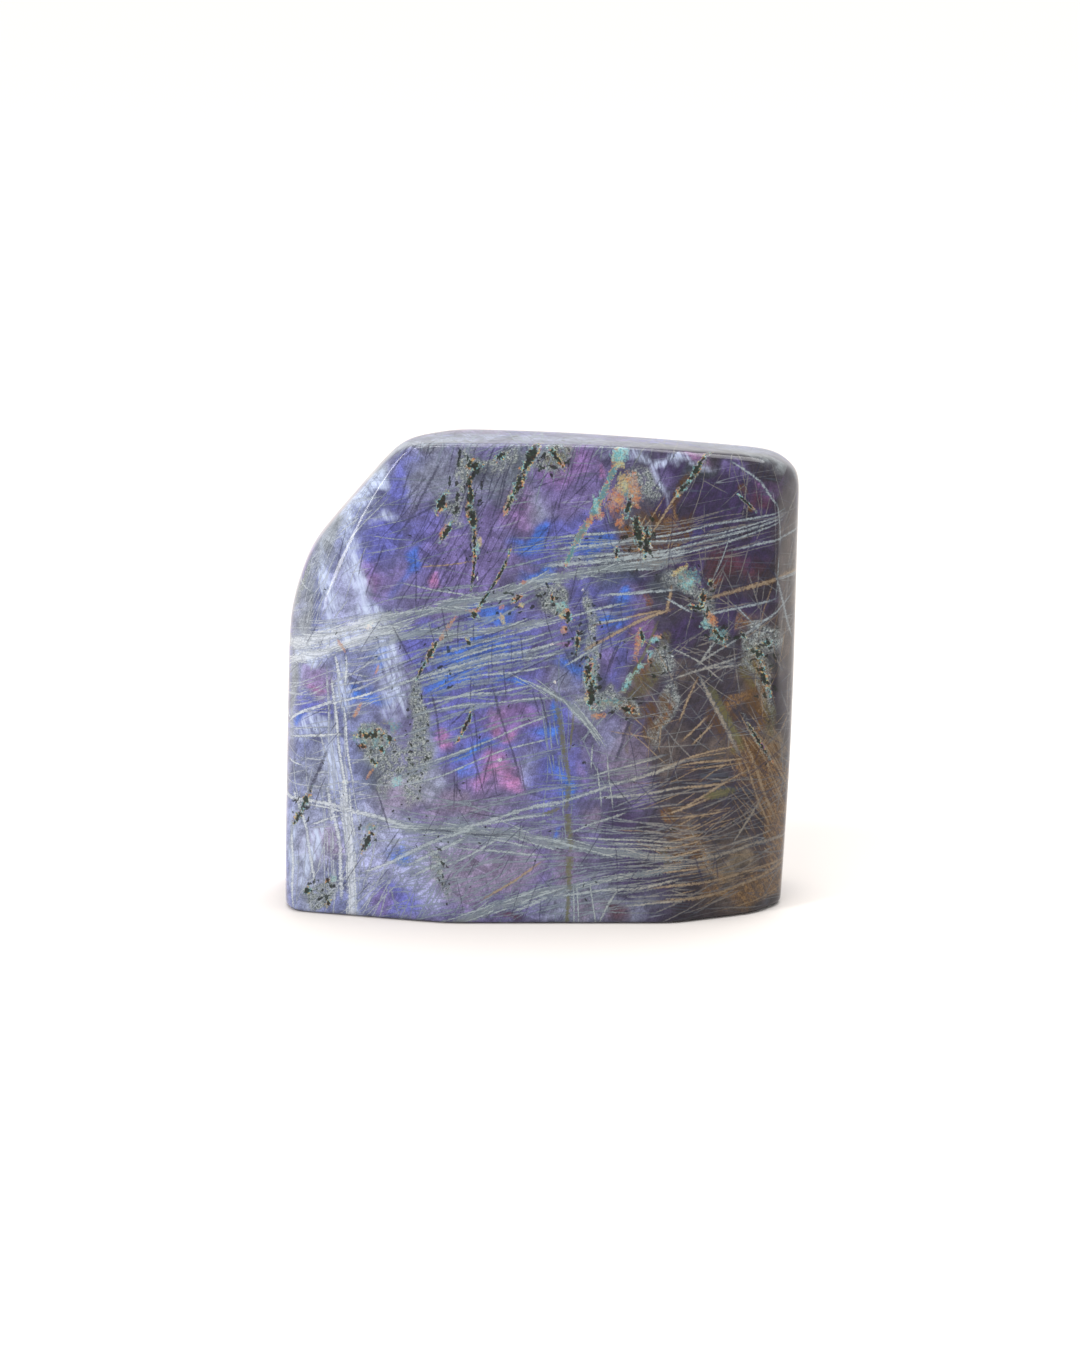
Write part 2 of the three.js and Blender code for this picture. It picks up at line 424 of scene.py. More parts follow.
# Brown stains from iron in the cracks, as above
STAINS = (
    ("tan", 0.8, (
        (38, 26, 8, 2.2, -58), (41, 18, 6, 1.6, -75), (45, 9, 6, 7, 10), (40, 28, 6, 1.6, -62),
        (38.4, 44, 0.9, 5, 12), (15.5, 69, 2, 1.4, 0), (21.5, 72, 3.4, 0.9, 60), (40.5, 22, 6, 1.4, -70),
        (38, 5, 4.5, 3, 0), (29, 12, 5.5, 0.9, -62), (31, 5.5, 4, 1.4, 10), (18.5, 65.5, 3, 1.2, -40),
        (22, 67.4, 2.6, 1, 30), (37, 37, 1, 4, -16), (33.5, 40, 0.9, 4, -30), (36, 53.5, 1.8, 1, 20),
    )),
    ("umber", 0.85, (
        (17, 68, 3.6, 5, -30), (20, 67, 4, 2.6, 50), (23.3, 76, 1, 2.4, -40), (38.5, 43, 2, 3, 0),
        (20.3, 36, 1.5, 4, -10), (15.5, 37.6, 2.4, 1.2, -20), (34, 75, 1.6, 0.8, -30),
        (35.8, 72.5, 0.6, 1, 0), (22, 12, 2, 1.4, 0), (27, 11.4, 2, 0.9, -20), (36, 29.5, 3.5, 0.8, -55),
        (19, 38, 1, 1.4, 0), (21.5, 19, 1.4, 1.2, 0), (40, 31, 1, 2, 0), (36, 40, 2.4, 5, 10),
        (24, 70, 2.4, 2, 40), (31, 36, 2, 3, 20), (25, 15, 4, 3, 0),
    )),
    ("rust", 0.8, (
        (20.8, 37, 0.4, 2.4, -14), (16, 70, 1.6, 1.2, 0), (21, 18.8, 0.9, 0.6, 0),
        (17.5, 45, 0.7, 1.8, -10), (12.6, 72.8, 1.2, 1.4, 0), (18, 57, 2, 1, 70), (30.3, 60, 0.9, 0.9, 0),
    )),
    ("olive", 0.7, (
        (38.6, 39, 1, 1.6, 0), (17, 42, 1.2, 4, -30), (20.5, 50, 0.8, 3, -30), (37, 47.5, 2.4, 2, 20),
        (34, 31, 0.6, 1.4, 20), (2.4, 82, 2, 1.6, 0), (36, 46, 3, 3, 0), (39, 37, 1.6, 3, 0),
        (20.4, 13, 0.6, 1.6, 0), (15, 33, 0.6, 2.4, -20),
    )),
)

# Zones of grey-green grains between the flashes, as above
GRAINY = (
    (-22, 32, 12, 2.2, 88), (8, 50, 9, 1.5, 92), (-17.4, 9, 5.5, 1, 103), (2, 81.5, 3, 2.6, 0),
    (-14, 77, 7.5, 1.6, 66), (28, 57.5, 2.2, 2, 0), (20, 46, 2, 3.4, 0), (37, 48, 2.6, 2.4, 0),
    (1, 58, 2, 2.8, 0), (-29.5, 33, 4, 2.2, 0), (-39, 4, 2.6, 2.2, 0), (25, 59.5, 3, 2, -30),
    (15, 38.2, 3.4, 1.6, -10), (38.6, 51, 2, 3, 0), (17, 77, 2.4, 3.6, 20), (-7, 81, 3.5, 1.4, 10),
    (28.6, 13, 6, 0.9, -65), (-26, 25, 3.4, 1.6, 40), (10, 40, 3.6, 1.2, 0), (-17.5, 49.5, 3.4, 1, 55),
    (-26, 29.5, 5, 3.6, 0), (38.5, 43, 1.8, 7, 8), (-45, 62, 1.6, 14, -24), (21, 37, 1.4, 5, -10),
)

# Strokes: a width in millimetres, then the x and z of each point that the stroke runs through
PALE_VEINS = (
    (1.8, -47, 47.3, -35, 51.5, -24, 54.2), (1.4, -47, 44.3, -37, 48.4, -24, 52.5),
    (0.5, -36.5, 47, -35.5, 43), (0.5, -34.5, 47, -34.5, 42), (0.4, -46, 34, -36.5, 39),
    (0.5, -36.8, 42, -35.3, 32, -34, 21), (0.4, -34.6, 38, -32.8, 24),
    (0.4, -46.5, 33.5, -38, 38, -27, 42), (0.4, -45, 31, -35, 33), (0.3, -46, 27, -42, 26.5),
    (0.5, -44.4, 15, -43.7, 1), (0.5, -44, 22, -41.8, 15, -40.2, 6),
    (0.7, -37.5, 22, -35.8, 12, -35.4, 4), (1.3, -34.6, 22, -33.9, 8, -33.4, 0),
    (0.4, -33.6, 23, -33.2, 14), (0.8, -46, 20.9, -36, 19.5, -23, 17.2), (0.4, -43, 19.7, -35, 18.7),
    (0.4, -41, 16, -35.5, 18), (0.5, -31.5, 8, -23, 12.2), (0.5, 3, 65.5, 16, 67.2),
    (0.4, 4, 64, 16, 65), (0.4, 3, 67.5, 15, 69), (0.35, 15, 67.3, 28, 70, 40, 71.6),
    (0.3, 18, 67.3, 30, 68.6, 40, 71), (0.4, 14, 64.2, 28, 67.5, 40, 70.4),
    (0.35, 13, 62.6, 30, 66.8, 40, 69.8), (0.4, 33, 66, 46, 67.8), (0.2, 30, 62, 32.2, 68.5),
    (1.1, -25, 53.4, -19.5, 55, -13, 55.3), (1.7, -21, 54.8, -10, 57.8, 1, 61),
    (1.2, -25, 50.6, -12, 51.3, 0, 53.8), (0.3, -24, 59.6, -11, 57.7),
    (0.6, -25, 42.3, -8, 47.2, 2, 49.8), (0.4, -21, 42.8, -4, 47, 3, 48), (0.6, -18, 47.2, 1, 53.6),
    (0.4, -16, 46.2, 1, 51.8), (0.4, -15, 42.8, 1, 45.7), (1.5, -1, 60.4, 8, 61.7, 23, 64),
    (0.8, 1, 62.8, 12, 63.6, 24, 65.8), (0.4, 3, 53.8, 14, 56.2), (0.4, 8, 52.8, 15, 53.6),
    (0.5, 10, 57.4, 23, 58.8), (0.4, 4, 46, 10, 49.5), (0.4, 28, 54.6, 40, 57.3),
    (0.3, 33.6, 56.4, 36.4, 53.8), (0.4, 34, 50.8, 43, 56.6), (0.4, 21.4, 57.2, 25.6, 55.2),
    (0.35, 40.2, 61, 43.7, 50), (0.4, 21.5, 42.6, 34, 47.4), (0.4, 26.6, 45.4, 30.4, 50.6),
    (0.3, 26.4, 45.6, 34, 50.8), (0.3, 28, 45.4, 22.4, 48.3), (0.3, 26.4, 46.4, 30.6, 43),
    (0.4, 27.4, 45, 35, 46.1), (0.4, -21.5, 38.8, -8, 40.8, -2, 42.2),
    (0.35, -21, 37.5, -6, 39.2, 1, 40.2), (0.3, -15.6, 39.6, -8.4, 41.7),
    (0.35, -21, 28.5, -8, 32.7, 1, 37), (0.3, -19, 26.2, -6, 30.8, 1, 32.8),
    (0.3, -24, 24.7, -14, 27.8), (0.4, -1, 42.4, 4, 40, 9.6, 33.4), (1.0, 0, 42, 5, 39.4, 9.6, 33.8),
    (0.6, 3.5, 21.7, 14, 25.5, 24, 28.6), (0.35, 8.5, 26.5, 21, 30), (0.5, 9, 22.3, 24, 24.4),
    (0.3, 8.8, 32, 8.5, 28), (0.3, 9.6, 28, 9.8, 21), (0.3, 11.4, 30, 11.8, 21),
    (0.7, 27, 43, 33.6, 30.6), (1.6, -25, 17, -13, 17.2, -3, 15.5, 5, 13.8),
    (0.7, -14, 17.3, -3, 20.2, 3, 21.5), (0.5, -12, 17.9, 1, 19.2),
    (0.7, -25, 11.5, -17, 15.7, -12, 17.4), (0.6, -23.5, 10, -13, 16), (0.5, -23, 8, -16, 12),
    (0.4, -17, 10.5, -7, 15.5), (0.4, -15, 14.1, 1, 12.2), (0.35, -9, 15.5, -2, 13.8),
    (1.5, -15.5, 0.2, -8, 3.5, 1, 6), (0.6, -5, 2.6, 1, 4.8), (1.3, -1, 14.7, 12, 12.5, 23, 12),
    (1.1, -1, 5.3, 10, 7.3, 23, 10.2), (0.5, 4, 5.2, 16, 6, 23, 8), (0.4, 15, 3, 24, 4.1),
    (0.4, 5, 16, 14, 20.1), (0.4, 6, 15, 24, 15), (0.3, 11, 13.2, 23, 13.6), (0.3, 11, 14.2, 23, 14.3),
    (0.3, 5.8, 7, 5.6, -1), (0.3, 6.4, 7, 6.5, -1), (0.3, 8.7, 7, 9.6, -1), (0.4, 13.3, 5.6, 10, 0),
    (0.6, 26, 11.6, 37, 13.3, 43, 13), (0.4, 33, 14, 40, 14.9), (0.4, 33.6, 14.4, 38.3, 21),
    # The next three strokes are painted highlights along the top-right ridge and down the right ridge, not
    # veins
    (0.4, 33, 80.4, 37.5, 77.2, 40, 73.4), (0.22, 40.4, 73, 40.6, 66), (0.2, 40.6, 64, 40.3, 58),
    (1.6, -46, 47.2, -60, 49, -86, 54), (0.9, -46, 20.9, -62, 22, -86, 18),
    (0.6, -46, 34, -60, 38, -86, 36), (0.5, -44, 58, -62, 62, -84, 64), (1.2, 45, 60, 58, 57, 84, 60),
    (0.9, 45, 10, 60, 14, 84, 20), (0.5, 45, 40, 62, 36, 84, 44),
    (1.8, 154, 20, 184, 33, 214, 37, 246, 53), (1.3, 155, 60, 190, 66, 228, 72, 240, 73),
    (1.1, 168, 8, 198, 11, 246, 18), (0.7, 155, 44, 196, 47, 246, 64), (1.0, 172, 2, 183, 30, 186, 58),
)

TAN_VEINS = (
    (0.7, 30, 58, 41, 60.8, 45, 60.2), (0.4, 21, 28, 34, 31.5), (0.4, 25, 28.2, 35, 29.1),
    (0.3, 26, 27.2, 35, 28.4), (0.4, 21, 24.1, 32, 24.8), (0.4, 24, 20.7, 36, 27),
    (0.4, 26.3, 43, 23.7, 36), (0.4, 24.6, 32.6, 28.4, 36.4), (0.4, 26.2, 31.7, 29.3, 35),
    (0.6, 8, 49, 14, 52, 21.5, 55, 22.4, 59), (0.4, 9, 52.6, 21, 55), (0.4, -10, 5, 0, 11),
    (0.4, 21, 19.6, 29, 22.4), (0.35, 24, 19.4, 32, 19.9), (0.3, 21, 15, 27, 16.2),
    (0.3, 21, 13.8, 27, 15), (0.4, 21, 12, 28, 13.8), (0.35, 21, 9.4, 28, 10.3),
    (0.5, 21, 6.7, 36, 8.5, 43, 8.8), (0.6, 21, 3.9, 31, 5.3, 43, 8.2), (0.6, 34.6, 33, 41.2, 17),
    (0.4, 36, 34, 42.6, 20), (0.4, 35.4, 28, 40, 16), (0.35, 37.6, 33, 43.4, 22),
    (0.4, 19, 69, 23.4, 76.4), (0.3, -13, 64, -20.6, 62.8),
)

# Olive needles and the dark hairline cracks
OLIVE_VEINS = (
    (0.8, 2.8, 39, 4.2, 27, 3.9, 21), (0.4, 5.6, 37, 4.2, 27), (1.0, 3.8, 23, 4.7, 14, 5, 7),
    (0.7, 5, 8, 4.3, -1), (1.1, 29, 41, 34.3, 31.4), (1.2, 28.5, 22.8, 33.5, 23.4),
    (0.5, 0, 19.3, 4, 20.8), (0.5, 14.6, 42, 19.4, 52),
)

DARK_LINES = (
    (0.5, -25, 68.5, -17, 81.8), (0.4, -25, 73.4, -20, 78.6), (0.4, -25, 70.6, -18, 74),
    (0.4, -20.8, 59, -17.6, 65), (0.4, -18.8, 57.8, -16, 64), (0.3, -21.4, 56, -22.1, 65),
    (0.6, -37.2, 29.8, -41.6, 20.5), (0.4, -19.4, 40.5, -18, 32), (0.35, -12.1, 38, -11.7, 31),
    (0.3, -16.4, 35, -12.6, 38.2), (0.3, -13, 32.6, -10.3, 23),
    (0.4, -8.2, 40.5, -6.3, 32.5, -4.2, 25.5), (0.3, -1.4, 41, -0.4, 37), (0.3, -9.4, 30, -10.4, 25),
    (0.4, -0.2, 41, 1.1, 35), (0.6, 15.8, 37, 13, 29.6), (0.4, -21, 17, -15, 16.8),
    (0.4, -13, 16.5, -6, 15.9), (0.3, -4.8, 68.4, -7, 63.3, -11.2, 56), (0.3, -8, 83, -10.4, 76),
    (0.3, -4.6, 82, -7.5, 73), (0.3, 22, 83, 18.6, 75.5), (0.3, 3, 74, 0.6, 67),
    (0.3, 7.6, 83, 5.6, 76), (0.3, 33, 78, 30.4, 70), (0.3, 36.4, 66, 34.4, 58),
    (0.35, 13.2, 50, 11, 44), (0.3, -27.5, 66, -30, 58), (0.3, 20.4, 22, 24.6, 30),
    (0.3, 31.4, 20, 34.6, 26.4), (0.4, 26.2, 12, 27.8, 7.4), (0.3, -22.6, 46, -25.6, 52),
    (0.3, -26.6, 16, -28.6, 23),
)

# Dark inclusions with rims that shine in many colours
INCLUSIONS = (
    (0.8, -12.3, 78, -12.4, 73.5), (1.3, -12.5, 74, -12, 69.4), (0.7, -12, 70, -12.2, 64.5),
    (0.5, -12, 65, -12.3, 59), (1.5, -0.8, 84.4, -3, 78.5, -4.4, 75), (0.8, -4.6, 75.6, -6.4, 71.8),
    (0.9, -16.2, 70.6, -18, 67.5), (1.8, -18.4, 72.4, -16.6, 75.6), (1.8, -13, 80.2, -10, 80),
    (1.1, -8, 81, -6, 82), (1.2, -3, 81.4, -1, 82.6), (0.5, -6.2, 65, -9.2, 59, -11.4, 55.6),
    (1.0, -12.4, 55.4, -11, 54.2), (0.7, -12.6, 50.4, -12.2, 49.2), (0.9, -18.2, 49.2, -20, 46),
    (0.6, -20, 46.2, -22, 42.8), (0.9, 28.4, 82.4, 24.5, 77.5, 23, 75.6), (1.2, -32, 33, -28, 33.6),
    (0.9, -28.4, 31.6, -27.4, 30.4), (0.8, -29.6, 29, -28.4, 28), (0.8, -31.4, 31.4, -30.6, 30.6),
    (1.3, -27, 33.6, -26, 32.4), (0.7, -12, 38, -15, 32.6), (1.0, -44, 16.4, -42.8, 18.5, -40.8, 22),
    (1.1, -31.8, 11.6, -29.6, 15.8), (0.9, -41.7, 3.8, -40.9, 5.2), (0.8, -38.3, 5.7, -37.7, 6.9),
    (0.8, -37.8, 1.8, -37.2, 2.8), (1.2, 3.6, 55.4, 4.4, 53.2), (0.8, 5.9, 51.8, 5.8, 48.4),
    (0.7, 1.2, 58.2, 1.2, 56.8), (1.0, -5.3, 57.2, -3.8, 58), (1.2, 8, 47, 7.8, 43.4),
    (1.4, 8.5, 43.8, 9, 38), (0.8, 16.6, 51.6, 16.9, 49), (1.1, 15.2, 75.4, 14.4, 71.8),
    (1.6, 16.2, 71, 17.4, 66), (1.2, 18.4, 69.6, 18, 64.6), (0.8, 13, 66, 13.2, 64),
    (1.0, 28.2, 59, 27.6, 56.4), (0.8, 25.2, 56.2, 28.4, 55.8), (0.8, 29.3, 61, 29.6, 59.6),
    (1.1, 29.5, 52.4, 31.4, 49.8), (1.2, 36, 48.8, 38.4, 47.4), (0.9, 38.2, 50, 40.2, 49.8),
    (1.0, 37.8, 46, 39.2, 41), (0.8, 34.4, 51.8, 35.2, 50.6), (0.9, 13.4, 39, 16.4, 37.6),
    (1.0, 1, 83.4, 3.6, 80), (0.6, 35, 36, 39.4, 28.6), (0.5, 33.4, 74.8, 36, 72.4),
    (1.2, 186, 74, 182, 64, 179, 55), (1.5, 216, 60, 211, 50, 207, 40), (0.8, 207, 40, 204, 35),
    (1.2, 225, 32, 229, 24), (1.0, 168, 20, 171, 12), (1.1, 196, 24, 192, 17),
    (0.9, -56, 40, -60, 31, -62, 24), (1.0, 56, 50, 60, 42, 59, 36),
)

# A seam of teal feldspar that is not dark inside
TEAL_SEAM = (
    (1.4, 12.6, 84, 12.3, 80), (1.1, 12.4, 80.6, 11.2, 77.5, 10, 74),
    (1.2, 10.2, 74.8, 8.8, 71, 5.5, 66), (0.8, 6, 66.8, 3.8, 62.4),
)

# Small bright chips, as the patches are. The white ones are partly white specks in the stone and partly
# painted glints, one of them in the painted reflection on the left bevel
CHIPS = (
    ("teal", 0.9, (
        (25.5, 61, 2.2, 1.9, 40), (30.5, 51, 1.6, 1.3, 0), (14.5, 76, 1, 1.2, 0), (8, 45, 1.3, 2.6, 0),
        (11.5, 39.4, 2.6, 0.7, 3), (14, 41.5, 1.8, 0.7, 60), (-30, 33, 3, 1.8, 0), (-26.5, 35, 1.8, 1.2, 0),
        (16.4, 49.3, 0.6, 0.9, 0), (3, 55.5, 1.1, 1.2, 0), (-30.2, 16.2, 1.3, 0.8, 30),
    )),
    ("cyan", 0.9, (
        (13, 82.5, 1.5, 1.5, 0), (28.5, 53, 1.2, 1, 0), (19, 49.8, 1.2, 0.5, 30), (18.1, 48, 1.7, 0.5, 85),
        (17, 45.6, 1.7, 0.5, 55), (15, 43.4, 2, 0.5, 60), (-37, 6.7, 0.8, 0.6, 0), (2.8, 56.2, 0.8, 0.6, 0),
        (25.6, 60.2, 1.2, 0.5, 40), (-25, 25.2, 1.3, 0.7, 50), (-11.6, 66.4, 0.4, 1.2, 0),
        (9.6, 73, 0.5, 2, 20), (14.2, 42.4, 0.9, 0.4, 60),
    )),
    ("cream", 0.85, (
        (13.8, 77.4, 1.2, 1.8, 0), (24, 62.4, 1.6, 0.5, 35), (-5.4, 74.2, 0.6, 1.4, -20),
        (-11.2, 67.5, 0.5, 1, 0), (3.2, 54.7, 0.7, 0.7, 0), (13, 80.6, 0.8, 0.6, 0), (8.2, 40, 0.5, 1, 0),
        (-7, 54, 0.5, 1.1, 20), (12.8, 75.2, 0.8, 1.2, 0), (-3.8, 56.4, 0.6, 0.4, 0),
    )),
    ("orange", 0.85, (
        (12.6, 74.6, 1.6, 2, 0), (15.6, 76.4, 1.2, 3, 12), (10.4, 72.4, 0.7, 1.8, -20),
        (-12.9, 73, 0.4, 1.3, 0), (-11.8, 55.4, 1, 0.4, 0), (-15.6, 52.6, 1.8, 0.35, 58),
        (-17, 50.3, 0.9, 0.35, 58), (-19.2, 47.8, 1.8, 0.35, 58), (3.5, 52, 0.7, 0.8, 0),
        (16, 49, 0.5, 2.4, -5), (15.9, 46.6, 0.8, 0.6, 0), (19.6, 50.4, 0.9, 0.4, 0),
        (17.5, 46.5, 0.5, 0.9, 0), (29.3, 54, 0.8, 1.5, 20), (10, 37.1, 1.2, 0.5, 10),
        (-29.6, 26.4, 1.2, 0.3, 60), (-32.2, 37.8, 1.8, 0.3, 66), (-7.1, 56.2, 0.6, 0.5, 0),
        (-17.4, 69.4, 0.5, 1, -30), (-6.2, 72.8, 0.5, 1.2, -20), (-3.8, 60.4, 0.6, 0.4, 0),
        (-28.6, 34.2, 0.8, 0.5, 0), (-35.2, 48.8, 1.3, 0.35, -55), (-29, 45, 1.2, 0.25, 60),
        (8.8, 70.6, 0.5, 1.6, -30), (13.6, 70.6, 0.8, 1, 0),
    )),
    # White chips: partly white specks in the stone, partly painted glints
    ("white", 0.9, (
        (-34.3, 24.1, 0.5, 0.5, 0), (18.8, 66.5, 0.5, 0.4, 0), (-7.8, 28.8, 0.4, 0.25, 0),
        (6.7, 58.5, 0.3, 0.2, 60), (1.5, 49.6, 0.4, 0.2, 0), (2.5, 43, 0.25, 0.3, 0),
        (-30, 52.3, 1.0, 0.6, 20), (-11.4, 61, 0.15, 0.4, 0), (22, 47, 0.3, 0.2, 0),
    )),
)

# Sheaves of fine strokes: the middle x and z of an oval area, its half width and height, how
# many strokes, their direction and its spread in degrees, and their length and width
PALE_SHEAVES = (
    (-12, 48, 13, 6, 34, 17, 5, 20, 0.5),
    (-14, 56.5, 12, 3, 14, 12, 7, 12, 0.4),
    (-11, 33, 12, 7, 14, 16, 4, 20, 0.45),
    (-11, 40, 12, 3, 10, 10, 5, 16, 0.4),
    (-16, 70, 12, 11, 12, 12, 14, 10, 0.24),
    (10, 65.5, 12, 3.5, 22, 6, 4, 16, 0.3),
    (3, 76, 12, 7, 12, 40, 40, 8, 0.22),
    (28, 68, 15, 4.5, 24, 9, 5, 18, 0.3),
    (31, 76, 10, 6, 14, 85, 25, 8, 0.22),
    (33, 65, 11, 8, 10, 78, 22, 7, 0.2),
    (12, 53, 9, 8, 20, 16, 14, 9, 0.26),
    (34, 52, 10, 9, 40, 20, 60, 8, 0.24),
    (27, 46, 8, 5, 18, 20, 40, 9, 0.26),
    (28, 36, 9, 9, 20, 30, 50, 8, 0.24),
    (13, 33, 10, 8, 14, 10, 30, 9, 0.24),
    (12, 25, 13, 5, 22, 9, 5, 16, 0.34),
    (30, 22, 14, 7, 26, 12, 16, 10, 0.28),
    (12, 14, 14, 5, 38, 0, 6, 16, 0.34),
    (10, 6, 14, 5, 38, 9, 6, 16, 0.36),
    (32, 8, 12, 7, 26, 10, 12, 10, 0.3),
    (-13, 19, 13, 4, 32, 6, 7, 14, 0.36),
    (-15, 12, 11, 5, 36, 24, 14, 11, 0.36),
    (-18, 6, 12, 6, 26, 60, 30, 10, 0.34),
    (-12, 4, 12, 4, 24, 18, 8, 12, 0.36),
    (-28, 8, 9, 9, 26, 35, 30, 12, 0.34),
    (-5, 9, 12, 6, 20, 20, 12, 12, 0.34),
    (-32, 16, 9, 12, 18, 12, 12, 9, 0.3),
    (-35, 14, 4, 14, 22, 92, 5, 16, 0.34),
    (-35.5, 33, 2.5, 11, 14, 98, 4, 16, 0.34),
    (-41, 14, 4.5, 13, 18, 80, 14, 12, 0.28),
    (-37, 39, 9, 8, 26, 18, 8, 12, 0.32),
    (-36, 50, 10, 4, 22, 14, 6, 14, 0.34),
    (-37, 63, 5, 10, 14, 62, 10, 9, 0.26),
    (-38, 27, 7, 6, 16, 14, 16, 9, 0.3),
    (2.5, 22, 2.5, 20, 16, 92, 5, 16, 0.28),
    (-30, 70, 5, 9, 10, 30, 20, 8, 0.24),
    (-60, 30, 12, 30, 60, 25, 30, 14, 0.34),
    (-76, 35, 12, 34, 60, 8, 25, 14, 0.34),
    (60, 40, 14, 38, 80, 20, 35, 14, 0.34),
    (78, 40, 10, 38, 50, 10, 30, 14, 0.34),
    (-41, 56, 4, 14, 40, 66, 14, 10, 0.3),
    (-34, 76, 5, 8, 26, 50, 14, 9, 0.3),
    (0, 98, 40, 14, 110, 70, 30, 12, 0.32),
    (-8, 85, 32, 2.5, 70, 65, 25, 6, 0.3),
    (45, 40, 4, 36, 60, 75, 24, 12, 0.3),
    (200, 42, 44, 42, 170, 17, 8, 20, 0.42),
    (200, 42, 44, 42, 70, 98, 8, 18, 0.36),
    (200, 42, 44, 42, 90, 50, 45, 9, 0.28),
)

DARK_SHEAVES = (
    (-16, 70, 10, 12, 60, 64, 7, 10, 0.26),
    (-12, 44, 12, 10, 18, 88, 12, 4.5, 0.24),
    (-10, 31, 11, 8, 16, 98, 12, 4.5, 0.24),
    (-12, 48, 12, 6, 14, 19, 4, 12, 0.26),
    (3, 74, 11, 9, 40, 75, 26, 8, 0.26),
    (8, 52, 8, 10, 24, 80, 30, 6, 0.24),
    (30, 70, 13, 11, 44, 75, 26, 8, 0.26),
    (30, 50, 12, 12, 40, 40, 50, 7, 0.26),
    (28, 25, 15, 16, 46, 35, 50, 8, 0.28),
    (6, 10, 18, 10, 30, 60, 45, 6, 0.24),
    (-14, 14, 12, 12, 16, 60, 40, 5, 0.22),
    (-35, 22, 10, 20, 14, 62, 14, 5, 0.22),
    (-36, 52, 9, 16, 18, 62, 12, 5, 0.22),
    (-60, 30, 12, 30, 40, 60, 30, 9, 0.3),
    (60, 40, 14, 38, 60, 60, 40, 9, 0.3),
    (0, 98, 40, 14, 90, 85, 20, 9, 0.3),
    (-4, 85, 36, 2.5, 60, 70, 20, 5, 0.3),
    (200, 42, 44, 42, 200, 62, 30, 10, 0.3),
)

TAN_SHEAVES = (
    (38, 25, 4, 12, 60, -60, 9, 10, 0.3),
    (30, 24, 10, 6, 20, 12, 10, 10, 0.28),
    (32, 8, 12, 7, 22, 12, 12, 10, 0.28),
    (24, 15, 8, 8, 18, 10, 12, 9, 0.28),
    (40, 45, 4, 12, 16, 70, 30, 7, 0.26),
    (18, 40, 4, 10, 14, -40, 40, 6, 0.26),
    (19, 69, 4, 5, 14, 50, 30, 5, 0.26),
    (62, 20, 12, 20, 50, -40, 30, 12, 0.36),
    (180, 25, 20, 20, 50, 30, 30, 12, 0.36),
)

# Small dark grains in the grainy zones and along the inclusions, laid out the same way
SPECK_SHEAVES = (
    (2, 81, 3, 3, 16, 60, 40, 1.3, 0.9),
    (-13, 77, 3, 6, 20, 62, 14, 2.0, 0.8),
    (-22, 32, 2, 11, 40, 60, 60, 0.7, 0.5),
    (-18, 45, 3, 6, 14, 60, 30, 0.9, 0.5),
    (8, 50, 2, 8, 24, 80, 60, 0.8, 0.6),
    (1, 57.5, 2.4, 3, 16, 60, 60, 0.8, 0.6),
    (-29.5, 32.5, 3, 2.4, 18, 40, 60, 1.2, 0.8),
    (-39, 4.5, 2.4, 2.4, 10, 60, 20, 1.0, 0.7),
    (-17.5, 9, 1.2, 6, 16, 100, 20, 1.0, 0.5),
    (28, 57, 2.6, 3, 24, 60, 60, 0.9, 0.7),
    (31, 51, 3, 2, 14, 40, 60, 1.0, 0.7),
    (38, 48, 3, 3, 24, 50, 60, 1.1, 0.7),
    (38.5, 42, 2, 4, 16, 70, 40, 1.2, 0.7),
    (17, 68.5, 3, 4, 24, 70, 40, 1.5, 0.9),
    (14.6, 38.2, 3, 2, 16, 0, 40, 1.0, 0.7),
    (9, 42, 2, 3, 12, 80, 40, 1.1, 0.8),
    (19.6, 47, 2, 4, 16, 70, 50, 0.9, 0.6),
    (-12.2, 68, 1.4, 9, 20, 85, 20, 1.3, 0.6),
    (-6, 57, 5, 2.4, 14, 30, 40, 1.0, 0.6),
    (5, 50, 2, 4, 12, 80, 40, 0.9, 0.6),
    (-31, 14, 2, 3, 8, 55, 20, 1.2, 0.7),
    (-43, 19, 2, 3, 8, 60, 20, 1.2, 0.7),
    (0, 40, 44, 38, 120, 60, 60, 0.6, 0.34),
    (200, 42, 44, 42, 240, 60, 60, 1.0, 0.7),
    (-60, 30, 12, 28, 60, 60, 60, 1.0, 0.7),
    (60, 40, 14, 36, 70, 60, 60, 1.0, 0.7),
    (0, 98, 40, 13, 80, 60, 60, 1.2, 0.8),
)

# A pale stroke at least this wide is a cloudy band with thin bright strands in it
BAND_WIDTH = 0.95
STRANDS_PER_AREA = 1.3

# The chart that marks are placed on is the front's own x and z. Past these depths the sides
# and the top unfold over the front's edges, and the back and the foot have places of their
# own. Each side: the axis that it carries on, the depth of its fold and the way that it goes
FOLDS = {
    "left": (0, -10.0, -1),
    "right": (0, -4.0, 1),
    "top": (2, -12.5, 1),
}
# As far as its fold, a side moves on by at least this share of the way along its surface
LEAST_SHARE = 0.4
# What the back's x and the foot's depth are counted from
BACK_CHART = 200.0
FOOT_CHART = -100.0
# The depth from which the front's chart gains on its bevels, and the gain, per millimetre
BEVEL_START = -13.0
BEVEL_GAIN = 0.037


def edge_lattice(fixed, at_end, other):
    """The lattice corners of a side that runs backwards, by place along it and by depth."""
    along, deep = np.meshgrid(
        np.arange(CELL_COUNTS[other] + 1), np.arange(CELL_COUNTS[1] + 1), indexing="ij"
    )
    lattice = np.zeros(along.shape + (3,), int)
    lattice[..., fixed] = CELL_COUNTS[fixed] if at_end else 0
    lattice[..., other] = along
    lattice[..., 1] = deep
    return lattice


def carried_round(points):
    """The front's own x, which gains a little where the front's bevels turn to the sides."""
    x, y = points[..., 0], points[..., 1]
    return x + np.sign(x) * BEVEL_GAIN * np.maximum(0, y - BEVEL_START) ** 2


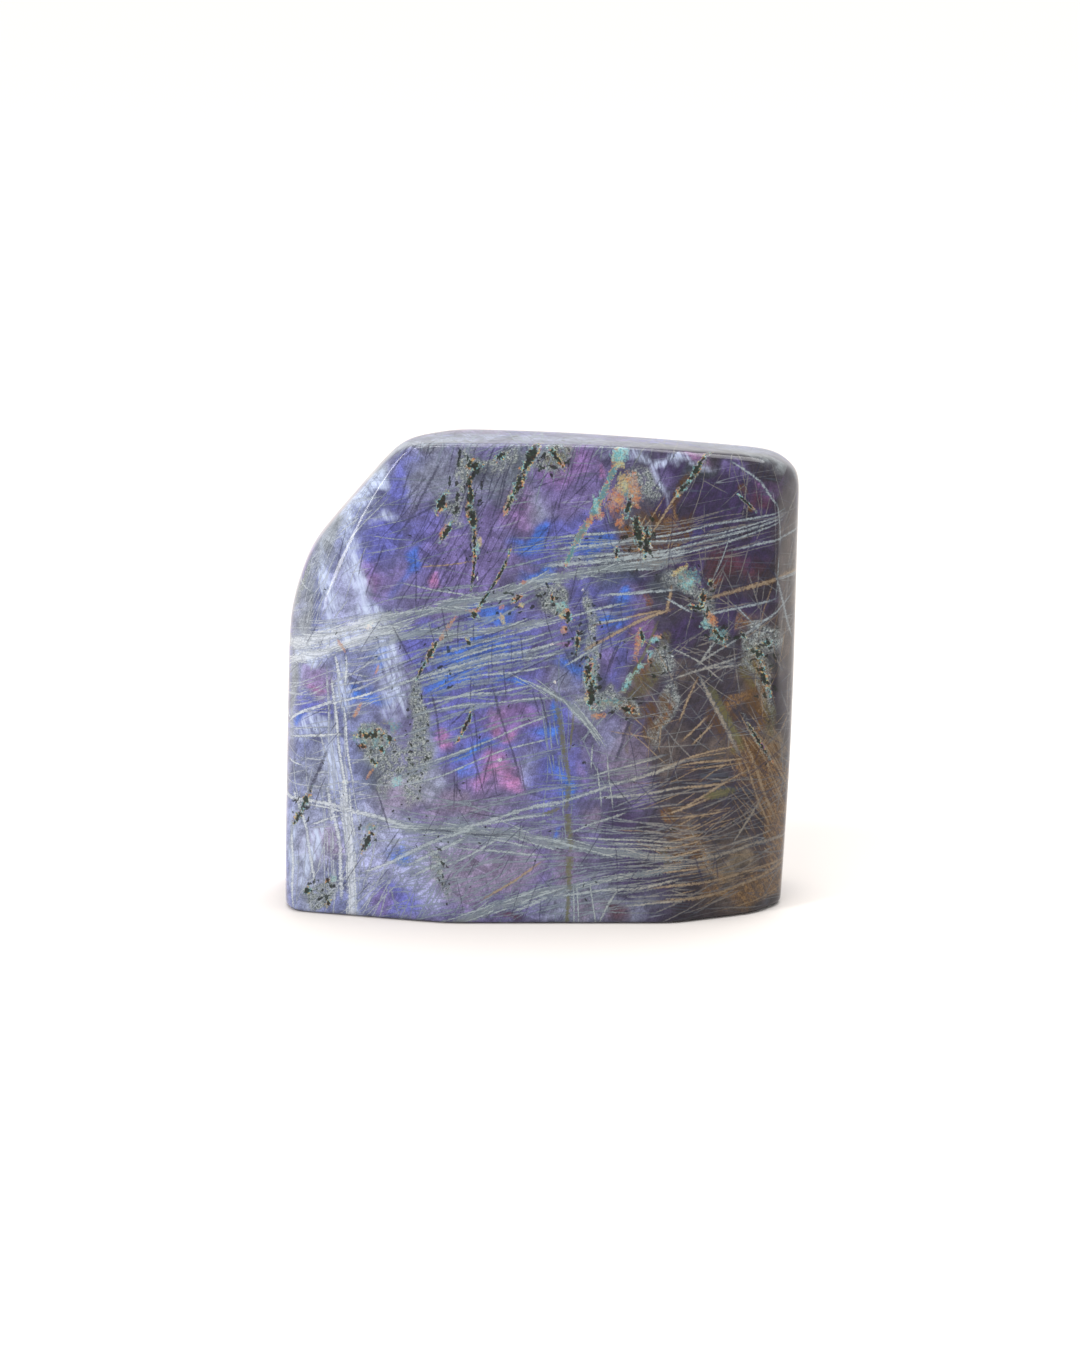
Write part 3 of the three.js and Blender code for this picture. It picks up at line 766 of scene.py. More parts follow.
def unfolded(side, corners):
    """The front's own coordinate as far as a side's fold, and then the way along its surface."""
    axis, fold, sign = FOLDS[side]
    fixed, at_end = SIDES[side][:2]
    other = 2 - fixed
    lattice = edge_lattice(fixed, at_end, other)
    points = ground_points(lattice.reshape(-1, 3)).reshape(lattice.shape)
    steps = np.diff(points, axis=1)
    depths = (points[:, 1:, 1] + points[:, :-1, 1]) / 2
    lengths = np.linalg.norm(steps, axis=-1)
    seen = np.maximum(sign * steps[..., axis], LEAST_SHARE * lengths)
    moved = sign * np.where(depths < fold, seen, lengths)
    start = carried_round(points[:, :1]) if axis == 0 else points[:, :1, 2]
    ways = np.concatenate([start, start + np.cumsum(moved, axis=1)], axis=1)
    return ways[corners[..., other], corners[..., 1]]


def charted(side, points, corners):
    """Places on the chart for the corners of one side of the lattice."""
    x, y, z = np.moveaxis(points, -1, 0)
    if side == "front":
        x = carried_round(points)
    elif side in ("left", "right"):
        x = unfolded(side, corners)
    elif side == "top":
        z = unfolded(side, corners)
    elif side == "back":
        x = BACK_CHART - x
    elif side == "foot":
        z = FOOT_CHART + y
    return np.stack([x, z], axis=-1)


# Waves that bend the chart: how far x and z each go while the phase turns by one radian, the
# wave's height, all in millimetres, and its phase at the middle
SIDEWAYS_WAVES = ((9.1, 5.3, 0.35, 0.0), (3.1, 1.7, 0.10, 1.3))
UPWARDS_WAVES = ((6.1, 8.3, 0.35, 2.0), (1.9, -2.9, 0.10, 0.7))


def pushed(x, z, waves):
    """How far the waves push each place of the chart."""
    return sum(
        height * np.sin(x / x_length + z / z_length + phase)
        for x_length, z_length, height, phase in waves
    )


def bent(chart):
    """The chart bent a little, so that straight strokes come out slightly wavy."""
    x, z = np.moveaxis(chart, -1, 0)
    return np.stack([x + pushed(x, z, SIDEWAYS_WAVES), z + pushed(x, z, UPWARDS_WAVES)], axis=-1)


def corner_charts():
    """The bent chart place of every corner of every face."""
    points = GROUND[CORNER_INDEX]
    chart = np.empty(points.shape[:2] + (2,))
    for side in SIDES:
        chosen = FACE_SIDES == side
        chart[chosen] = charted(side, points[chosen], LATTICE_CORNERS[chosen])
    return bent(chart)


# Marks fade out this near to the edges where the chart is cut, which count from this depth
SEAM_FADE = 0.6
SEAM_START = -6.0


def seam_points():
    """Points along the edges where the chart is cut: round the back and along the top's ends."""
    last_across, last_deep, last_up = CELL_COUNTS
    places = [(0, last_deep, up) for up in range(last_up + 1)]
    places += [(last_across, last_deep, up) for up in range(last_up + 1)]
    places += [(across, last_deep, last_up) for across in range(last_across + 1)]
    places += [(across, deep, last_up) for across in (0, last_across) for deep in range(last_deep + 1)]
    points = ground_points(np.array(places))
    return points[points[:, 1] > SEAM_START]


def nearness_to_seams():
    """How near each corner is to a cut in the chart: 1 on it, 0 well away from it."""
    seams = seam_points()
    tree = KDTree(len(seams))
    for order, point in enumerate(seams):
        tree.insert(point, order)
    tree.balance()
    distances = np.array([tree.find(point)[2] for point in GROUND])
    return np.clip(1 - distances / SEAM_FADE, 0, 1)[CORNER_INDEX]


def ruffled(chart):
    """The chart pushed about by a few crossing waves, so that patches get ragged shapes."""
    moved = chart
    for wavelength, size, turn in RUFFLES:
        phase = moved @ (math.cos(turn), math.sin(turn)) * 2 * math.pi / wavelength
        push = np.stack([np.sin(phase + 7 * turn), np.cos(1.3 * phase + 3 * turn)], axis=-1)
        moved = moved + size * push
    return moved


# Wavelength, height and direction of each wave: two in millimetres, one in radians
RUFFLES = ((11.0, 0.8, 0.4), (6.2, 0.45, 1.9), (3.7, 0.25, 3.3), (2.1, 0.12, 5.1))
CHART = corner_charts()
RUFFLED_CHART = ruffled(CHART)
PATCH_SPREAD = 1.3
FACE_CHART = CHART.mean(axis=1)

# A stroke fades out a little before its lens ends, and a mark's lens is kept for faces
# that lie up to this far outside it, in millimetres
STROKE_REACH = 1.2
STROKE_OVERLAP = 1.15
FACE_MARGIN = 0.5
SMALL_MARK = 1.0
SMALL_MARK_GAIN = 0.6
FAR_OFF = 3.0


def own_places(marks):
    """Each mark's middle, half size and direction, as it is laid on the chart."""
    for x, z, length, width, tilt, *rest in marks:
        turn = math.radians(tilt)
        along = np.array([math.cos(turn), math.sin(turn)])
        across = np.array([-along[1], along[0]])
        yield np.array([x, z]), (length, width), (along, across), rest[0] if rest else 0.0


def lay_marks(name, marks, layers, blunt=False):
    """Gives each face the own coordinates of the first few marks that lie over it.

    A mark's own coordinates run from -1 to 1 along it and across it, so its edge stays sharp
    however large the faces are. The third number is how faint the mark is. A blunt mark
    keeps its width nearly to its ends.
    """
    values = np.full((layers,) + CHART.shape[:2] + (3,), FAR_OFF, np.float32)
    used = np.zeros(len(FACE_CHART), int)
    for middle, size, directions, faintness in own_places(marks):
        offsets = FACE_CHART - middle
        near = used < layers
        for half, direction in zip(size, directions):
            gain = 1 + SMALL_MARK_GAIN * (half < SMALL_MARK)
            near &= np.abs(offsets @ direction) < half * gain + FACE_MARGIN
        faces = np.flatnonzero(near)
        corners = CHART[faces] - middle
        for axis, (half, direction) in enumerate(zip(size, directions)):
            own = corners @ direction / half
            if blunt and axis == 0:
                own *= np.abs(own)
            values[used[faces], faces, :, axis] = own
        values[used[faces], faces, :, 2] = faintness
        used[faces] += 1
    names = [f"{name}_{layer + 1}" for layer in range(layers)]
    for layer_name, layer in zip(names, values):
        write_corners(layer_name, layer)
    return names


def write_corners(name, values):
    attribute = stone.data.attributes.new(name, "FLOAT_VECTOR", "CORNER")
    attribute.data.foreach_set("vector", values.reshape(-1).astype(np.float32))


def write_seams():
    attribute = stone.data.attributes.new("near_seam", "FLOAT", "CORNER")
    attribute.data.foreach_set("value", nearness_to_seams().reshape(-1).astype(np.float32))


def soft_mask(marks):
    """How near each corner is to the middle of any of the soft patches, from 0 to 1."""
    most = np.zeros(CHART.shape[:2])
    for middle, size, directions, faintness in own_places(marks):
        offsets = (RUFFLED_CHART - middle) / PATCH_SPREAD
        parts = [offsets @ direction / half for half, direction in zip(size, directions)]
        np.maximum(most, 1 - np.hypot(*parts), out=most)
    return most


def lay_patches(named_marks):
    """Writes soft masks to the mesh, three to an attribute, and says where each one is."""
    found = {}
    names = list(named_marks)
    for start in range(0, len(names), 3):
        group = names[start:start + 3]
        values = np.zeros(CHART.shape[:2] + (3,))
        for axis, name in enumerate(group):
            values[..., axis] = soft_mask(named_marks[name])
            found[name] = (f"patches_{start // 3 + 1}", "XYZ"[axis])
        write_corners(f"patches_{start // 3 + 1}", values)
    return found


def stroke_marks(strokes, narrowest=0.0, widest=math.inf):
    """Each straight run of the strokes within these widths as one long lens."""
    marks = []
    for width, *numbers in strokes:
        if not narrowest <= width < widest:
            continue
        points = list(zip(numbers[::2], numbers[1::2]))
        overlap = STROKE_OVERLAP if len(points) > 2 else 1.0
        for (x1, z1), (x2, z2) in zip(points, points[1:]):
            length = math.hypot(x2 - x1, z2 - z1)
            tilt = math.degrees(math.atan2(z2 - z1, x2 - x1))
            half = STROKE_REACH * length / 2 * overlap
            marks.append(((x1 + x2) / 2, (z1 + z2) / 2, half, STROKE_REACH * width / 2, tilt))
    return marks


# The strands of a band: how far they spread, as shares of its half length and half width, and
# their half lengths, half widths, tilt off the band's own and faintness
STRAND_SPREAD = (0.9, 1.1)
STRAND_LENGTHS = (1.5, 6.0)
STRAND_WIDTHS = (0.10, 0.20)
STRAND_TILT = 6
STRAND_FAINTNESS = (0, 0.5)


def strands(strokes, random):
    """Thin strands inside the wide strokes, which make them look like bundles."""
    marks = []
    for x, z, half, width, tilt in stroke_marks(strokes, BAND_WIDTH):
        for _ in range(int(STRANDS_PER_AREA * half * width) + 2):
            along = random.uniform(-STRAND_SPREAD[0], STRAND_SPREAD[0]) * half
            across = random.uniform(-STRAND_SPREAD[1], STRAND_SPREAD[1]) * width
            turn = math.radians(tilt)
            marks.append((
                x + along * math.cos(turn) - across * math.sin(turn),
                z + along * math.sin(turn) + across * math.cos(turn),
                random.uniform(*STRAND_LENGTHS),
                random.uniform(*STRAND_WIDTHS),
                tilt + random.normal(0, STRAND_TILT),
                random.uniform(*STRAND_FAINTNESS),
            ))
    return marks


# How much the marks of a sheaf differ in length and width, as shares, and in faintness
LENGTH_SHARES = (0.4, 1.4)
WIDTH_SHARES = (0.55, 1.1)
FAINTNESS = (0.1, 0.65)


def scattered(sheaves, random):
    """Many seeded marks of a kind, spread over oval areas of the chart."""
    marks = []
    for x, z, half_wide, half_high, count, direction, spread, length, width in sheaves:
        for _ in range(count):
            radius = math.sqrt(random.uniform())
            turn = random.uniform(0, 2 * math.pi)
            marks.append((
                x + half_wide * radius * math.cos(turn),
                z + half_high * radius * math.sin(turn),
                length * random.uniform(*LENGTH_SHARES) / 2 * STROKE_REACH,
                width * random.uniform(*WIDTH_SHARES) / 2 * STROKE_REACH,
                random.normal(direction, spread),
                random.uniform(*FAINTNESS),
            ))
    return marks


stone = bpy.data.objects.new("polished_stone", stone_mesh())
bpy.context.scene.collection.objects.link(stone)
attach(stone, "root")
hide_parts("stone")

write_seams()
random = np.random.default_rng(7)
BAND_LAYERS = lay_marks("band", stroke_marks(PALE_VEINS, BAND_WIDTH), 2, blunt=True)
PALE_LAYERS = lay_marks(
    "pale_vein", stroke_marks(PALE_VEINS, 0, BAND_WIDTH) + strands(PALE_VEINS, random), 4, blunt=True,
)
FAINT_LAYERS = lay_marks("faint_vein", scattered(PALE_SHEAVES, random), 4, blunt=True)
TAN_LAYERS = lay_marks("tan_vein", stroke_marks(TAN_VEINS), 2, blunt=True)
FAINT_TAN_LAYERS = lay_marks("faint_tan_vein", scattered(TAN_SHEAVES, random), 2, blunt=True)
OLIVE_LAYERS = lay_marks("olive_vein", stroke_marks(OLIVE_VEINS), 1, blunt=True)
DARK_LAYERS = lay_marks(
    "dark_line", stroke_marks(DARK_LINES) + scattered(DARK_SHEAVES, random), 3, blunt=True,
)
SPECK_LAYERS = lay_marks("speck", scattered(SPECK_SHEAVES, random), 2)
INCLUSION_LAYERS = lay_marks("inclusion", stroke_marks(INCLUSIONS), 2)
SEAM_LAYERS = lay_marks("seam", stroke_marks(TEAL_SEAM), 2)
CHIP_LAYERS = {name: lay_marks(f"chip_{name}", marks, 1) for name, strength, marks in CHIPS}
MASKS = lay_patches(
    {name: marks for name, strength, marks in PATCHES + STAINS} | {"haze_and_sheen": HAZE_AND_SHEEN, "grainy": GRAINY}
)

material = bpy.data.materials.new("labradorite")
material.use_nodes = True
tree = material.node_tree
shader = tree.nodes["Principled BSDF"]


def colour_of(name):
    """A named colour as the linear base colour that shows it under this studio's light."""
    linear = []
    for level in COLOURS[name]:
        share = level / 255
        light = share / 12.92 if share <= 0.04045 else ((share + 0.055) / 1.055) ** 2.4
        linear.append(max(light - POLISH_VEIL, 0.002) / STUDIO_GAIN)
    return (*linear, 1.0)


def feed(socket, value):
    """Wires a socket to another node's output, or sets it to a plain value."""
    if isinstance(value, bpy.types.NodeSocket):
        tree.links.new(value, socket)
    else:
        socket.default_value = value


def add_node(kind, inputs, **settings):
    """A new node with its settings made and its inputs fed."""
    node = tree.nodes.new(kind)
    for name, value in settings.items():
        setattr(node, name, value)
    for name, value in inputs.items():
        feed(node.inputs[name], value)
    return node


def calculate(operation, *values):
    return add_node("ShaderNodeMath", dict(enumerate(values)), operation=operation).outputs[0]


def calculate_vector(operation, *values):
    node = add_node("ShaderNodeVectorMath", dict(enumerate(values)), operation=operation)
    return node.outputs["Value" if operation == "DOT_PRODUCT" else "Vector"]


def product(*values):
    """All the values multiplied together."""
    total = values[0]
    for value in values[1:]:
        total = calculate("MULTIPLY", total, value)
    return total


def step_between(value, start, end, low=0.0, high=1.0):
    """A smooth step from low to high while the value goes from start to end."""
    inputs = {"Value": value, "From Min": start, "From Max": end, "To Min": low, "To Max": high}
    return add_node("ShaderNodeMapRange", inputs, interpolation_type="SMOOTHSTEP").outputs["Result"]


def noise(place, scale, detail=2.0, roughness=0.5, distortion=0.0):
    inputs = {
        "Vector": place, "Scale": scale, "Detail": detail,
        "Roughness": roughness, "Distortion": distortion,
    }
    return add_node("ShaderNodeTexNoise", inputs)


def cloud(place, scale, detail=2.0, roughness=0.5, distortion=0.0):
    """Plain noise between 0 and 1."""
    return noise(place, scale, detail, roughness, distortion).outputs["Fac"]


def laid_along(place, facing, length, spacing):
    """Space stretched into sheets that face one way, for fibres that run through the stone."""
    turn = Vector(facing).to_track_quat("Z", "Y").to_euler()
    inputs = {"Vector": place, "Rotation": turn, "Scale": (length, length, spacing)}
    return add_node("ShaderNodeMapping", inputs, vector_type="TEXTURE").outputs[0]


def fibres(place, facing, length, spacing, thinness):
    """Fine lines where thin sheets through the stone meet its surface."""
    sheet = cloud(laid_along(place, facing, length, spacing), 1.0, 1.0)
    off_centre = calculate("ABSOLUTE", calculate("SUBTRACT", sheet, 0.5))
    return step_between(off_centre, thinness, 0.0)


def mixed(factor, below, above, blend="MIX"):
    inputs = {"Factor": factor, 6: below, 7: above}
    return add_node("ShaderNodeMix", inputs, data_type="RGBA", blend_type=blend).outputs[2]


def ramp(value, stops):
    """Named colours laid along a value from 0 to 1."""
    node = add_node("ShaderNodeValToRGB", {"Fac": value})
    elements = node.color_ramp.elements
    elements[0].position = stops[0][0]
    elements[0].color = colour_of(stops[0][1])
    elements[1].position = stops[-1][0]
    elements[1].color = colour_of(stops[-1][1])
    for position, name in stops[1:-1]:
        elements.new(position).color = colour_of(name)
    return node.outputs["Color"]


def attribute(name):
    return add_node("ShaderNodeAttribute", {}, attribute_name=name).outputs["Vector"]


def depth_in(layers, ragged):
    """How deep each point lies in any of the marks: 1 in the middle of one, 0 outside all."""
    least = 2.0
    for name in layers:
        own = calculate_vector("ADD", attribute(name), ragged)
        least = calculate("MINIMUM", calculate_vector("DOT_PRODUCT", own, own), least)
    return calculate("SUBTRACT", calculate("SUBTRACT", 1.0, near_seam), least)


def mask(name):
    """A soft patch's mask, from 0 to 1, that fades out towards the back."""
    attribute_name, axis = MASKS[name]
    own = add_node("ShaderNodeSeparateXYZ", {"Vector": attribute(attribute_name)}).outputs[axis]
    return product(own, front_share)


def rag(scale, along, across, detail=2.0):
    """Noise that makes the edges of marks ragged, in their own coordinates."""
    push = calculate_vector("SUBTRACT", noise(place, scale, detail).outputs["Color"], (0.5, 0.5, 0.5))
    return calculate_vector("MULTIPLY", push, (along, across, 0))


# Where on the stone: millimetres in the ground frame
object_place = add_node("ShaderNodeTexCoord", {}).outputs["Object"]
place_inputs = {"Vector": object_place, "Scale": (1000, 1000, 1000), "Location": tuple(-SHIFT)}
place = add_node("ShaderNodeMapping", place_inputs).outputs[0]
coordinates = add_node("ShaderNodeSeparateXYZ", {"Vector": place}).outputs
near_seam = add_node("ShaderNodeAttribute", {}, attribute_name="near_seam").outputs["Fac"]

# The body colour: a cloudy scheme for the back and the sides, which is warmer at the right,
# and another one for the front
broad = cloud(place, 0.035, 2.0, 0.5, 0.8)
back_colour = ramp(broad, (
    (0.28, "charcoal"), (0.40, "dull_purple"), (0.48, "body"), (0.56, "violet"),
    (0.62, "blue_violet"), (0.72, "slate"),
))
right_ramp = ramp(broad, (
    (0.34, "charcoal"), (0.46, "grey_brown"), (0.58, "dark_violet"), (0.70, "slate"),
))
right_face = step_between(coordinates["X"], 32.0, 43.0, 0.0, 0.8)
back_colour = mixed(right_face, back_colour, right_ramp)
warm_side = step_between(coordinates["X"], 4.0, 28.0)
left_side = step_between(coordinates["X"], -20.0, -34.0)
front_colour = mixed(left_side, colour_of("body"), colour_of("left_body"))
front_colour = mixed(warm_side, front_colour, colour_of("charcoal"))
front_edge = calculate("MULTIPLY_ADD", cloud(place, 0.12, 3.0), 22.0, coordinates["Y"])
front_share = step_between(front_edge, 13.0, 4.0)
colour = mixed(front_share, back_colour, front_colour)

# The flashes of colour
GRAIN_FACING = (-0.25, 0.3, 0.95)
slanted = cloud(laid_along(place, GRAIN_FACING, 6.0, 1.4), 1.0, 3.0, 0.6)
mottle = cloud(place, 0.5, 3.0, 0.6)
edges = calculate("ADD", slanted, mottle)
streaks = cloud(laid_along(place, GRAIN_FACING, 4.0, 0.8), 1.0, 4.0, 0.7)
streaks = step_between(streaks, 0.34, 0.66)
GLOWS = {"blue": "bright_blue", "pink": "bright_pink"}
GLOW_STRENGTH = 0.8
for name, strength, marks in PATCHES:
    share = product(mask(name), edges)
    patch = step_between(share, 0.0, 0.8, 0.0, strength)
    colour = mixed(patch, colour, colour_of(name))
    if name in GLOWS:
        glow = product(step_between(share, 0.3, 1.0, 0.0, GLOW_STRENGTH), streaks)
        colour = mixed(glow, colour, colour_of(GLOWS[name]))

back_share = calculate("SUBTRACT", 1.0, front_share)
back_glow = step_between(cloud(place, 0.07, 2.0, 0.5, 0.5), 0.54, 0.68, 0.0, 0.6)
colour = mixed(product(back_glow, streaks, back_share), colour, colour_of("bright_blue"))

# The stone's fine grain and mottling, which lighten and darken it
steep = cloud(laid_along(place, (0.9, 0.3, -0.42), 6.0, 0.6), 1.0, 2.0, 0.6)
fine = cloud(place, 3.5, 3.0, 0.8)
domain_place = laid_along(place, (0.55, 0.3, 0.78), 1.6, 0.7)
domains = add_node("ShaderNodeTexVoronoi", {"Vector": domain_place, "Scale": 0.45}).outputs["Color"]
domain = calculate_vector("DOT_PRODUCT", domains, (0.25, 0.25, 0.25))
shade = calculate("ADD", calculate("ADD", steep, slanted), calculate("ADD", mottle, domain))
brightness = step_between(shade, 1.35, 2.45, 0.54, 1.36)
sparkle = step_between(fine, 0.3, 0.7, 0.67, 1.34)
right_shade = step_between(coordinates["X"], 2.0, 20.0, 1.02, 0.84)
left_light = step_between(coordinates["X"], -6.0, -30.0, 1.0, 1.07)
low_light = step_between(coordinates["Z"], 44.0, 16.0, 0.0, 0.2)
low_light = product(low_light, step_between(coordinates["X"], 8.0, -16.0))
brightness = product(brightness, sparkle, right_shade, left_light, calculate("ADD", low_light, 1.0))
lit = add_node("ShaderNodeVectorMath", {0: colour, "Scale": brightness}, operation="SCALE")
colour = lit.outputs[0]

# Milky haze: partly a veil in the stone, partly painted reflection and painted highlights on the left bevel
# and the ridges
haze_sheen_noise = cloud(laid_along(place, (0.95, 0.3, 0.24), 5.0, 0.7), 1.0, 4.0, 0.75)
haze_sheen_streaks = step_between(haze_sheen_noise, 0.34, 0.66, 0.15, 1.0)
haze_and_sheen = product(step_between(product(mask("haze_and_sheen"), edges), 0.0, 0.75), haze_sheen_streaks)
colour = mixed(haze_and_sheen, colour, colour_of("milky_sheen"))

# Grainy zones of grey-green between the flashes
back_grains = step_between(cloud(place, 0.11, 2.0), 0.56, 0.68, 0.0, 0.6)
back_grains = product(back_grains, back_share)
grainy = calculate("MAXIMUM", step_between(product(mask("grainy"), edges), 0.04, 0.5), back_grains)
grit = ramp(cloud(place, 3.2, 4.0, 0.85), (
    (0.36, "dark_green"), (0.43, "grit"), (0.49, "grain"), (0.54, "grain"), (0.61, "pale_grit"),
))
grain_cover = step_between(cloud(place, 1.1, 3.0, 0.7), 0.34, 0.56, 0.3, 1.0)
colour = mixed(product(grainy, grain_cover), colour, grit)

# Brown stains
stain_grain = cloud(laid_along(place, (0.85, 0.2, 0.5), 5.0, 0.45), 1.0, 4.0, 0.75)
stain_breaks = step_between(stain_grain, 0.36, 0.6, 0.2, 1.0)
burnt = step_between(cloud(place, 2.4, 4.0, 0.8), 0.44, 0.56, 0.0, 0.8)
for name, strength, marks in STAINS:
    stain = step_between(product(mask(name), edges), 0.02, 0.5, 0.0, strength)
    stain_colour = mixed(burnt, colour_of(name), colour_of("burnt"))
    colour = mixed(product(stain, stain_breaks), colour, stain_colour)
back_stain = step_between(cloud(place, 0.08, 4.0, 0.6, 1.0), 0.58, 0.7, 0.0, 0.6)
back_stain = product(back_stain, stain_breaks, back_share)
colour = mixed(back_stain, colour, colour_of("tan"))

# Thin sheets through the stone: colour, strength, facing, length, spacing, thinness and the
# scale of the patches that they show in
FIBRES = (
    ("vein", 0.4, (-0.20, 0.30, 0.97), 70.0, 2.4, 0.008, 0.10),
    ("vein_shade", 0.5, (0.06, 0.40, 0.99), 70.0, 2.8, 0.010, 0.12),
    ("crack", 0.4, (0.90, 0.25, -0.42), 40.0, 2.6, 0.010, 0.13),
    ("crack", 0.35, (0.98, -0.30, 0.15), 30.0, 3.4, 0.008, 0.16),
)
for order, (name, strength, facing, length, spacing, thinness, patchiness) in enumerate(FIBRES):
    where = calculate_vector("ADD", place, (31.0 * order, 17.0 * order, 23.0 * order))
    line = fibres(where, facing, length, spacing, thinness)
    part = step_between(cloud(where, patchiness, 2.0), 0.42, 0.58, 0.0, strength)
    colour = mixed(product(line, part), colour, colour_of(name))

# The placed veins, each with a shaded edge and a pale core that the grain breaks up
along_grain = cloud(laid_along(place, (-0.22, 0.35, 0.97), 0.9, 0.3), 1.0, 3.0, 0.75)
vein_breaks = step_between(along_grain, 0.32, 0.58, 0.25, 1.0)
feathers = rag(3.4, 0.4, 2.7, 3.0)
warm_corner = product(warm_side, step_between(coordinates["Z"], 56.0, 38.0))
left_veins = product(left_side, front_share)
vein_colour = mixed(left_veins, colour_of("vein"), colour_of("vein_left"))
vein_colour = mixed(warm_corner, vein_colour, colour_of("vein_right"))
soft_colour = mixed(left_veins, colour_of("soft_vein"), colour_of("soft_left"))
soft_colour = mixed(warm_side, soft_colour, colour_of("soft_right"))
band = depth_in(BAND_LAYERS, feathers)
band_share = product(step_between(band, -0.1, 0.8, 0.0, 0.85), step_between(fine, 0.3, 0.6, 0.55, 1.0))
colour = mixed(band_share, colour, mixed(left_veins, colour_of("cloudy"), vein_colour))
dim_right = step_between(coordinates["X"], 20.0, 34.0, 1.0, 0.75)
VEINS = (
    (FAINT_TAN_LAYERS, "umber", colour_of("tan_vein"), 0.3, 0.7),
    (FAINT_LAYERS, "vein_shade", soft_colour, 0.5, 0.8),
    (OLIVE_LAYERS, "olive", colour_of("olive"), 0.4, 0.7),
    (TAN_LAYERS, "umber", colour_of("tan_vein"), 0.4, 0.9),
    (PALE_LAYERS, "vein_shade", vein_colour, 0.5, 0.85),
    (DARK_LAYERS, "shadow", colour_of("crack"), 0.25, 0.6),
)
for layers, edge_name, core_colour, edge_strength, core_strength in VEINS:
    vein = depth_in(layers, feathers)
    colour = mixed(step_between(vein, -0.4, 0.4, 0.0, edge_strength), colour, colour_of(edge_name))
    core = product(step_between(vein, 0.1, 0.95, 0.0, core_strength), vein_breaks, dim_right)
    colour = mixed(core, colour, core_colour)

# The seam and the chips, which shine in many colours; the white chips are partly painted glints
rainbow = ramp(cloud(place, 0.8, 2.0, 0.6), (
    (0.28, "rust"), (0.38, "orange"), (0.44, "cream"), (0.50, "teal"), (0.56, "cyan"),
    (0.61, "cream"), (0.66, "orange"), (0.72, "pink"),
))
seam = depth_in(SEAM_LAYERS, feathers)
colour = mixed(step_between(seam, 0.05, 0.4, 0.0, 0.7), colour, rainbow)
colour = mixed(step_between(seam, 0.4, 0.8, 0.0, 0.8), colour, colour_of("teal"))
crumbs = rag(1.7, 2.6, 2.6, 3.0)
frills = rag(1.8, 2.4, 2.4, 4.0)
for name, strength, marks in CHIPS:
    chip = step_between(depth_in(CHIP_LAYERS[name], frills), -0.5, 0.7, 0.0, strength)
    chip = product(chip, step_between(fine, 0.36, 0.58, 0.15, 0.95))
    colour = mixed(chip, colour, mixed(0.3, colour_of(name), rainbow))

# Dark inclusions with shining rims, and dark grains
inclusion = depth_in(INCLUSION_LAYERS, crumbs)
halo = product(step_between(inclusion, -0.9, 0.25, 0.0, 0.5), grain_cover)
colour = mixed(halo, colour, grit)
rim = step_between(inclusion, -0.2, 0.35, 0.0, 0.8)
rim = product(rim, step_between(cloud(place, 1.4, 2.0), 0.42, 0.58))
colour = mixed(rim, colour, rainbow)
dark = mixed(step_between(cloud(place, 1.1, 2.0), 0.4, 0.6), colour_of("black"), colour_of("dark_green"))
core = step_between(inclusion, 0.45, 0.75, 0.0, 0.95)
colour = mixed(core, colour, dark)
specks = step_between(depth_in(SPECK_LAYERS, crumbs), 0.1, 0.6, 0.0, 0.85)
colour = mixed(specks, colour, dark)

feed(shader.inputs["Base Color"], colour)
shader.inputs["IOR"].default_value = 1.36
polish = step_between(mottle, 0.3, 0.7, 0.07, 0.13)
feed(shader.inputs["Roughness"], calculate("MULTIPLY_ADD", core, 0.35, polish))
ripple = calculate("MULTIPLY_ADD", cloud(place, 5.0, 2.0), 0.03, cloud(place, 0.35, 1.0))
bump = add_node("ShaderNodeBump", {"Height": ripple, "Strength": 0.15, "Distance": 0.0004})
feed(shader.inputs["Normal"], bump.outputs[0])
stone.data.materials.append(material)

# The pale floor
HALF_FLOOR = 3.0
floor_mesh = bpy.data.meshes.new("floor")
floor_mesh.from_pydata(
    [
        (-HALF_FLOOR, -HALF_FLOOR, 0), (HALF_FLOOR, -HALF_FLOOR, 0),
        (HALF_FLOOR, HALF_FLOOR, 0), (-HALF_FLOOR, HALF_FLOOR, 0),
    ],
    [], [(0, 1, 2, 3)],
)
floor = bpy.data.objects.new("floor", floor_mesh)
bpy.context.scene.collection.objects.link(floor)
FLOOR_COLOUR = (0.55, 0.52, 0.498, 1)
floor_material = bpy.data.materials.new("pale_floor")
floor_material.use_nodes = True
floor_shader = floor_material.node_tree.nodes["Principled BSDF"]
floor_shader.inputs["Base Color"].default_value = FLOOR_COLOUR
floor_shader.inputs["Roughness"].default_value = 1.0
floor_shader.inputs["Specular IOR Level"].default_value = 0.0
floor.data.materials.append(floor_material)

# Soft studio light
scene = bpy.context.scene
scene.view_settings.view_transform = "Standard"
world = bpy.data.worlds.new("studio")
scene.world = world
world.use_nodes = True
world.node_tree.nodes["Background"].inputs["Color"].default_value = (1, 1, 1, 1)
world.node_tree.nodes["Background"].inputs["Strength"].default_value = 1.0


